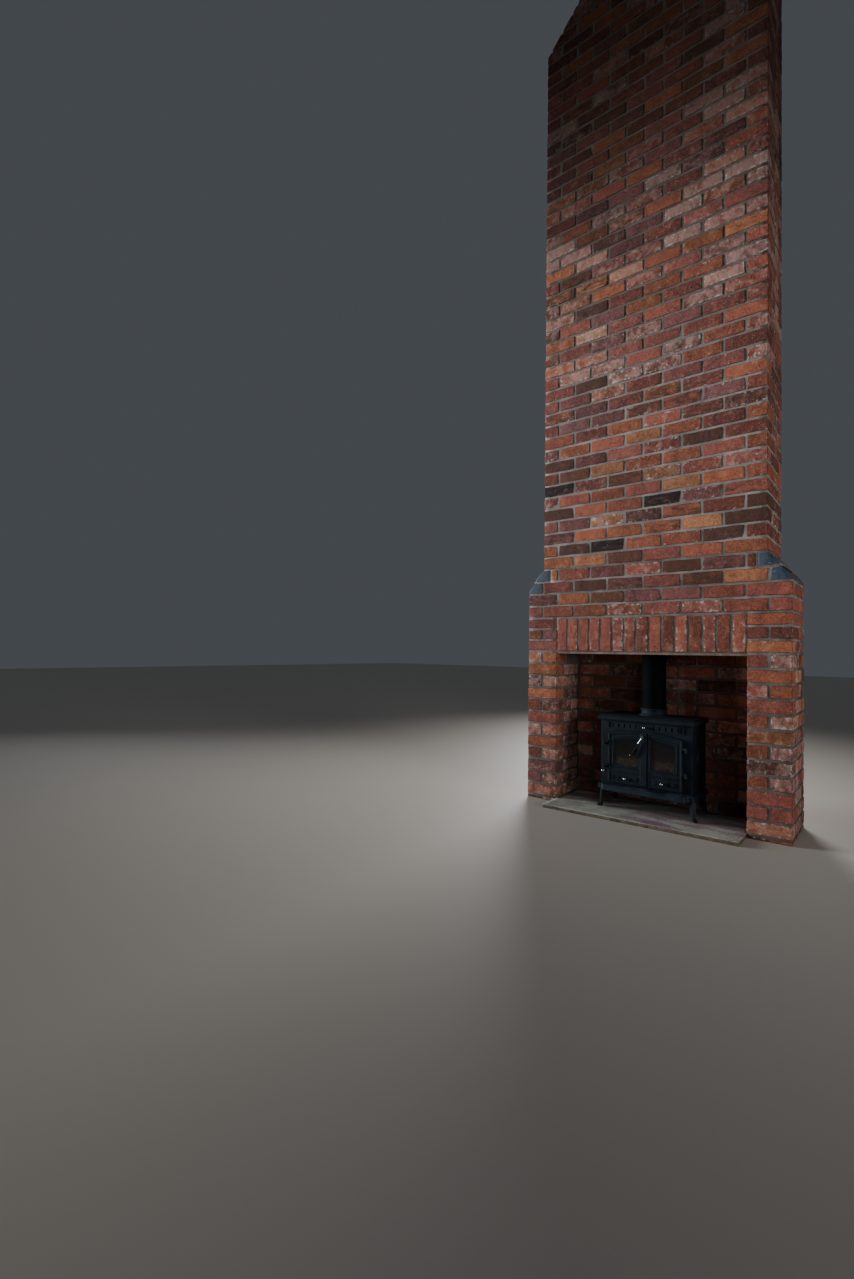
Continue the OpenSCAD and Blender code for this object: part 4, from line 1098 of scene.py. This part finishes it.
# The front left leg's paint is a darker copy of the stove paint, which is painted shade, with spots of rust
# on it.
rusty_shaded_foot_paint = build_iron("rusting_shaded_foot_paint", (7, 15, 20), (13, 24, 32), 0.55, CAST_PEBBLE, 0.15, rust=0.5,
                        gleam=0.2)
collar_paint = build_iron("collar_paint", (17, 28, 37), (27, 40, 50), 0.6, 0.0003, gleam=0.25)
bracket_zinc = build_iron("bracket_zinc", (92, 84, 74), (128, 118, 106), 0.6, 0.0002, 0.3, (150, 144, 136),
                          rust=0.7)
grip_enamel = build_iron("grip_enamel", (8, 9, 11), (14, 16, 19), 0.18, 0.0004, 0.0, (90, 90, 92),
                         gleam=0.42)
raw_iron = build_iron("raw_grate_iron", (44, 40, 38), (62, 56, 52), 0.7, 0.0008, 0.8, (150, 144, 136),
                      rust=0.6)
pipe_enamel = build_iron("pipe_enamel", (5, 7, 9), (8, 11, 14), 0.7, 0.00012, 0.1, (90, 90, 90),
                         gleam=0.07)
plate_steel = build_iron("plate_steel", (44, 43, 43), (60, 58, 57), 0.6, 0.0002, 0.5, (140, 134, 126),
                         rust=0.3)
print("stove paint has", len(stove_paint.node_tree.nodes), "nodes")

# %% [markdown]
# ## Glass, chrome, firebrick, rope and lintel
# The panes are stained brown by smoke, more so along the bottom. Real glass could be traced through, but
# a thin clear sheet with a mottled film shows the same and makes no noise in the picture. Chrome is
# nearly a mirror, and wants only faint scratches. Firebrick is pale and soft with soot low down, and the
# lintel is rendered with a sandy coat.

# %% Smoked glass and chrome
def build_glass(finish):
    """A clear sheet with a brown film, thicker and ashy along the bottom."""
    place = own_place(finish)
    film = cloud(finish, place, 24, 5, 0.65)
    low_down = between(finish, plus(finish, parts(finish, place)[Z], film, 0.05), 0.37, 0.42, 1, 0)
    smoke = ramp(finish, film, (0.3, (26, 25, 25)), (0.7, (44, 42, 41)))
    ashy = ramp(finish, cloud(finish, place, 60, 5, 0.7), (0.4, (26, 23, 22)), (0.65, (80, 68, 54)))
    coat(finish, stain(finish, low_down, smoke, ashy), 0.12, (cloud(finish, place, 14, 2, 0.5), 0.0002))
    feed(shader(finish).inputs["Alpha"], plus(finish, 0.62, low_down, 0.25))
    shader(finish).inputs["IOR"].default_value = 1.5


def build_chrome(finish):
    """A mirror with a faint film and fine scratches."""
    place = own_place(finish)
    film = cloud(finish, place, 120, 4)
    coat(finish, ramp(finish, film, (0.3, (150, 154, 160)), (0.7, (196, 199, 204))),
         between(finish, film, 0.3, 0.7, 0.08, 0.22), (cloud(finish, place, 700, 2, 0.5), 0.00004))
    shader(finish).inputs["Metallic"].default_value = 1.0


# %% Firebrick, rope and lintel
def build_firebrick(finish):
    """Pale pitted clay, sooty near the grate."""
    place = own_place(finish)
    pits = cloud(finish, place, 260, 3, 0.7)
    base = ramp(finish, cloud(finish, place, 40, 4), (0.3, (176, 150, 112)), (0.7, (206, 184, 148)))
    base = patch(finish, base, (120, 98, 70), pits, 0.58, 0.72, 0.6)
    soot = plus(finish, parts(finish, place)[Z], cloud(finish, place, 12, 4), 0.12)
    base = stain(finish, between(finish, soot, 0.3, 0.4, 0.85, 0.25), base, (44, 38, 34))
    coat(finish, base, between(finish, pits, 0.3, 0.7, 0.82, 0.95), (pits, 0.0012))


def build_rope(finish):
    """Dark twisted strands."""
    values = {"Vector": own_place(finish), "Scale": 70, "Distortion": 2.0, "Detail": 1.0}
    strands = put(finish, "TexWave", values, bands_direction="DIAGONAL").outputs["Fac"]
    coat(finish, ramp(finish, strands, (0.2, (26, 26, 27)), (0.8, (52, 51, 50))), 0.95, (strands, 0.0006))


def build_lintel(finish):
    """A warm grey render with sand in it."""
    place = own_place(finish)
    sand = cloud(finish, place, 420, 3, 0.7)
    base = ramp(finish, cloud(finish, place, 18, 5), (0.3, (112, 92, 80)), (0.7, (156, 134, 120)))
    base = patch(finish, base, (104, 86, 76), sand, 0.52, 0.72, 0.5)
    coat(finish, base, between(finish, sand, 0.3, 0.7, 0.82, 0.94),
         (cloud(finish, place, 50, 4), 0.003), (sand, 0.0008))


stove_glass, handle_chrome, firebrick, lintel_finish = (
    named_finish(name) for name in ("smoked_stove_glass", "handle_chrome", "firebrick", "rendered_lintel"))
for build, finish in ((build_glass, stove_glass), (build_chrome, handle_chrome),
                      (build_firebrick, firebrick), (build_rope, rope_finish), (build_lintel, lintel_finish)):
    build(finish)
    print(finish.name, "has", len(finish.node_tree.nodes), "nodes")

# %% [markdown]
# ## Give every casting its finish
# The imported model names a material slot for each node. Finishes could be given node by node, but a short
# table from slot names to finishes forgets none, and the cell stops if a slot isn't in it. Three nodes
# look a little different from the rest of the stove and are listed apart.

# %% Finishes for the nodes
FINISH_OF = {
    "brick": brick_finish, "splay_brick": splay_finish, "hearth_stone": hearth_finish,
    "lintel": lintel_finish, "plate_steel": plate_steel, "pipe_enamel": pipe_enamel,
    "stove_iron": stove_paint, "grate_iron": raw_iron, "firebrick": firebrick, "stove_glass": stove_glass,
    "handle_chrome": handle_chrome, "bracket_zinc": bracket_zinc, "grip_enamel": grip_enamel,
}
OWN_FINISH = {"flue_collar": collar_paint, "base_plate": base_paint, "front_left_leg": rusty_shaded_foot_paint}
dressed = 0
for name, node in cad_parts.items():
    for slot in node.material_slots:
        slot.material = OWN_FINISH.get(name, FINISH_OF[slot.material.name.split(".")[0]])
        dressed += 1
print("material slots dressed", dressed)

# %% [markdown]
# ## Floor and light
# The part stands on a plain pale floor. One sun lamp would light the tall shaft evenly, but the real one
# is brightest in two places, so large soft spots do it: a broad one and a narrow higher one from the
# left, weaker ones from the right and from in front, one behind for the views from there, and an even sky
# so that no side is black.

# %% Floor and sky
FLOOR_HALF = 30
floor_mesh = bmesh.new()
bmesh.ops.create_grid(floor_mesh, x_segments=1, y_segments=1, size=FLOOR_HALF)
floor_data = bpy.data.meshes.new("floor")
floor_mesh.to_mesh(floor_data)
floor_mesh.free()
floor = bpy.data.objects.new("floor", floor_data)
bpy.context.scene.collection.objects.link(floor)
floor_finish = named_finish("pale_floor")
shader(floor_finish).inputs["Base Color"].default_value = linear((214, 205, 192))
shader(floor_finish).inputs["Roughness"].default_value = 0.6
floor_data.materials.append(floor_finish)

sky = bpy.data.worlds.new("soft_sky")
sky.use_nodes = True
sky.node_tree.nodes["Background"].inputs["Color"].default_value = (0.80, 0.88, 1.0, 1)
sky.node_tree.nodes["Background"].inputs["Strength"].default_value = 0.08
bpy.context.scene.world = sky
print("floor and sky are in place")


# %% Lamps
def soft_light(name, place, target, reach, power, size, colour=(1, 1, 1)):
    """A large round lamp with a soft-edged cone: reach is the half angle of the cone in degrees."""
    lamp = bpy.data.lights.new(name, "SPOT")
    lamp.shadow_soft_size = size
    lamp.spot_size = 2 * math.radians(reach)
    lamp.spot_blend = 1.0
    lamp.energy = power
    lamp.color = colour
    holder = bpy.data.objects.new(name, lamp)
    turn = (Vector(place) - Vector(target)).to_track_quat("Z", "Y")
    holder.matrix_world = Matrix.Translation(place) @ turn.to_matrix().to_4x4()
    bpy.context.scene.collection.objects.link(holder)


DAYLIGHT = (0.92, 0.98, 1.05)
soft_light("left_broad", (-9.0, -3.1, 2.3), (0, 0, 1.55), 18.5, 4300, 1.8, DAYLIGHT)
soft_light("left_high", (-8.6, -3.3, 4.2), (0.45, 0, 3.15), 8.2, 4300, 1.0, DAYLIGHT)
soft_light("right_fill", (7.5, -2.6, 2.3), (0, 0, 1.5), 24, 980, 2.0, (0.98, 0.98, 0.98))
soft_light("front_fill", (4.2, -6.8, 1.6), (-0.4, 0, 0.5), 12, 400, 1.8, (0.94, 0.98, 1.04))
soft_light("behind", (-3.5, 8.0, 3.5), (0, 0, 2.4), 35, 3000, 2.0)
print("lights", len(bpy.data.lights))
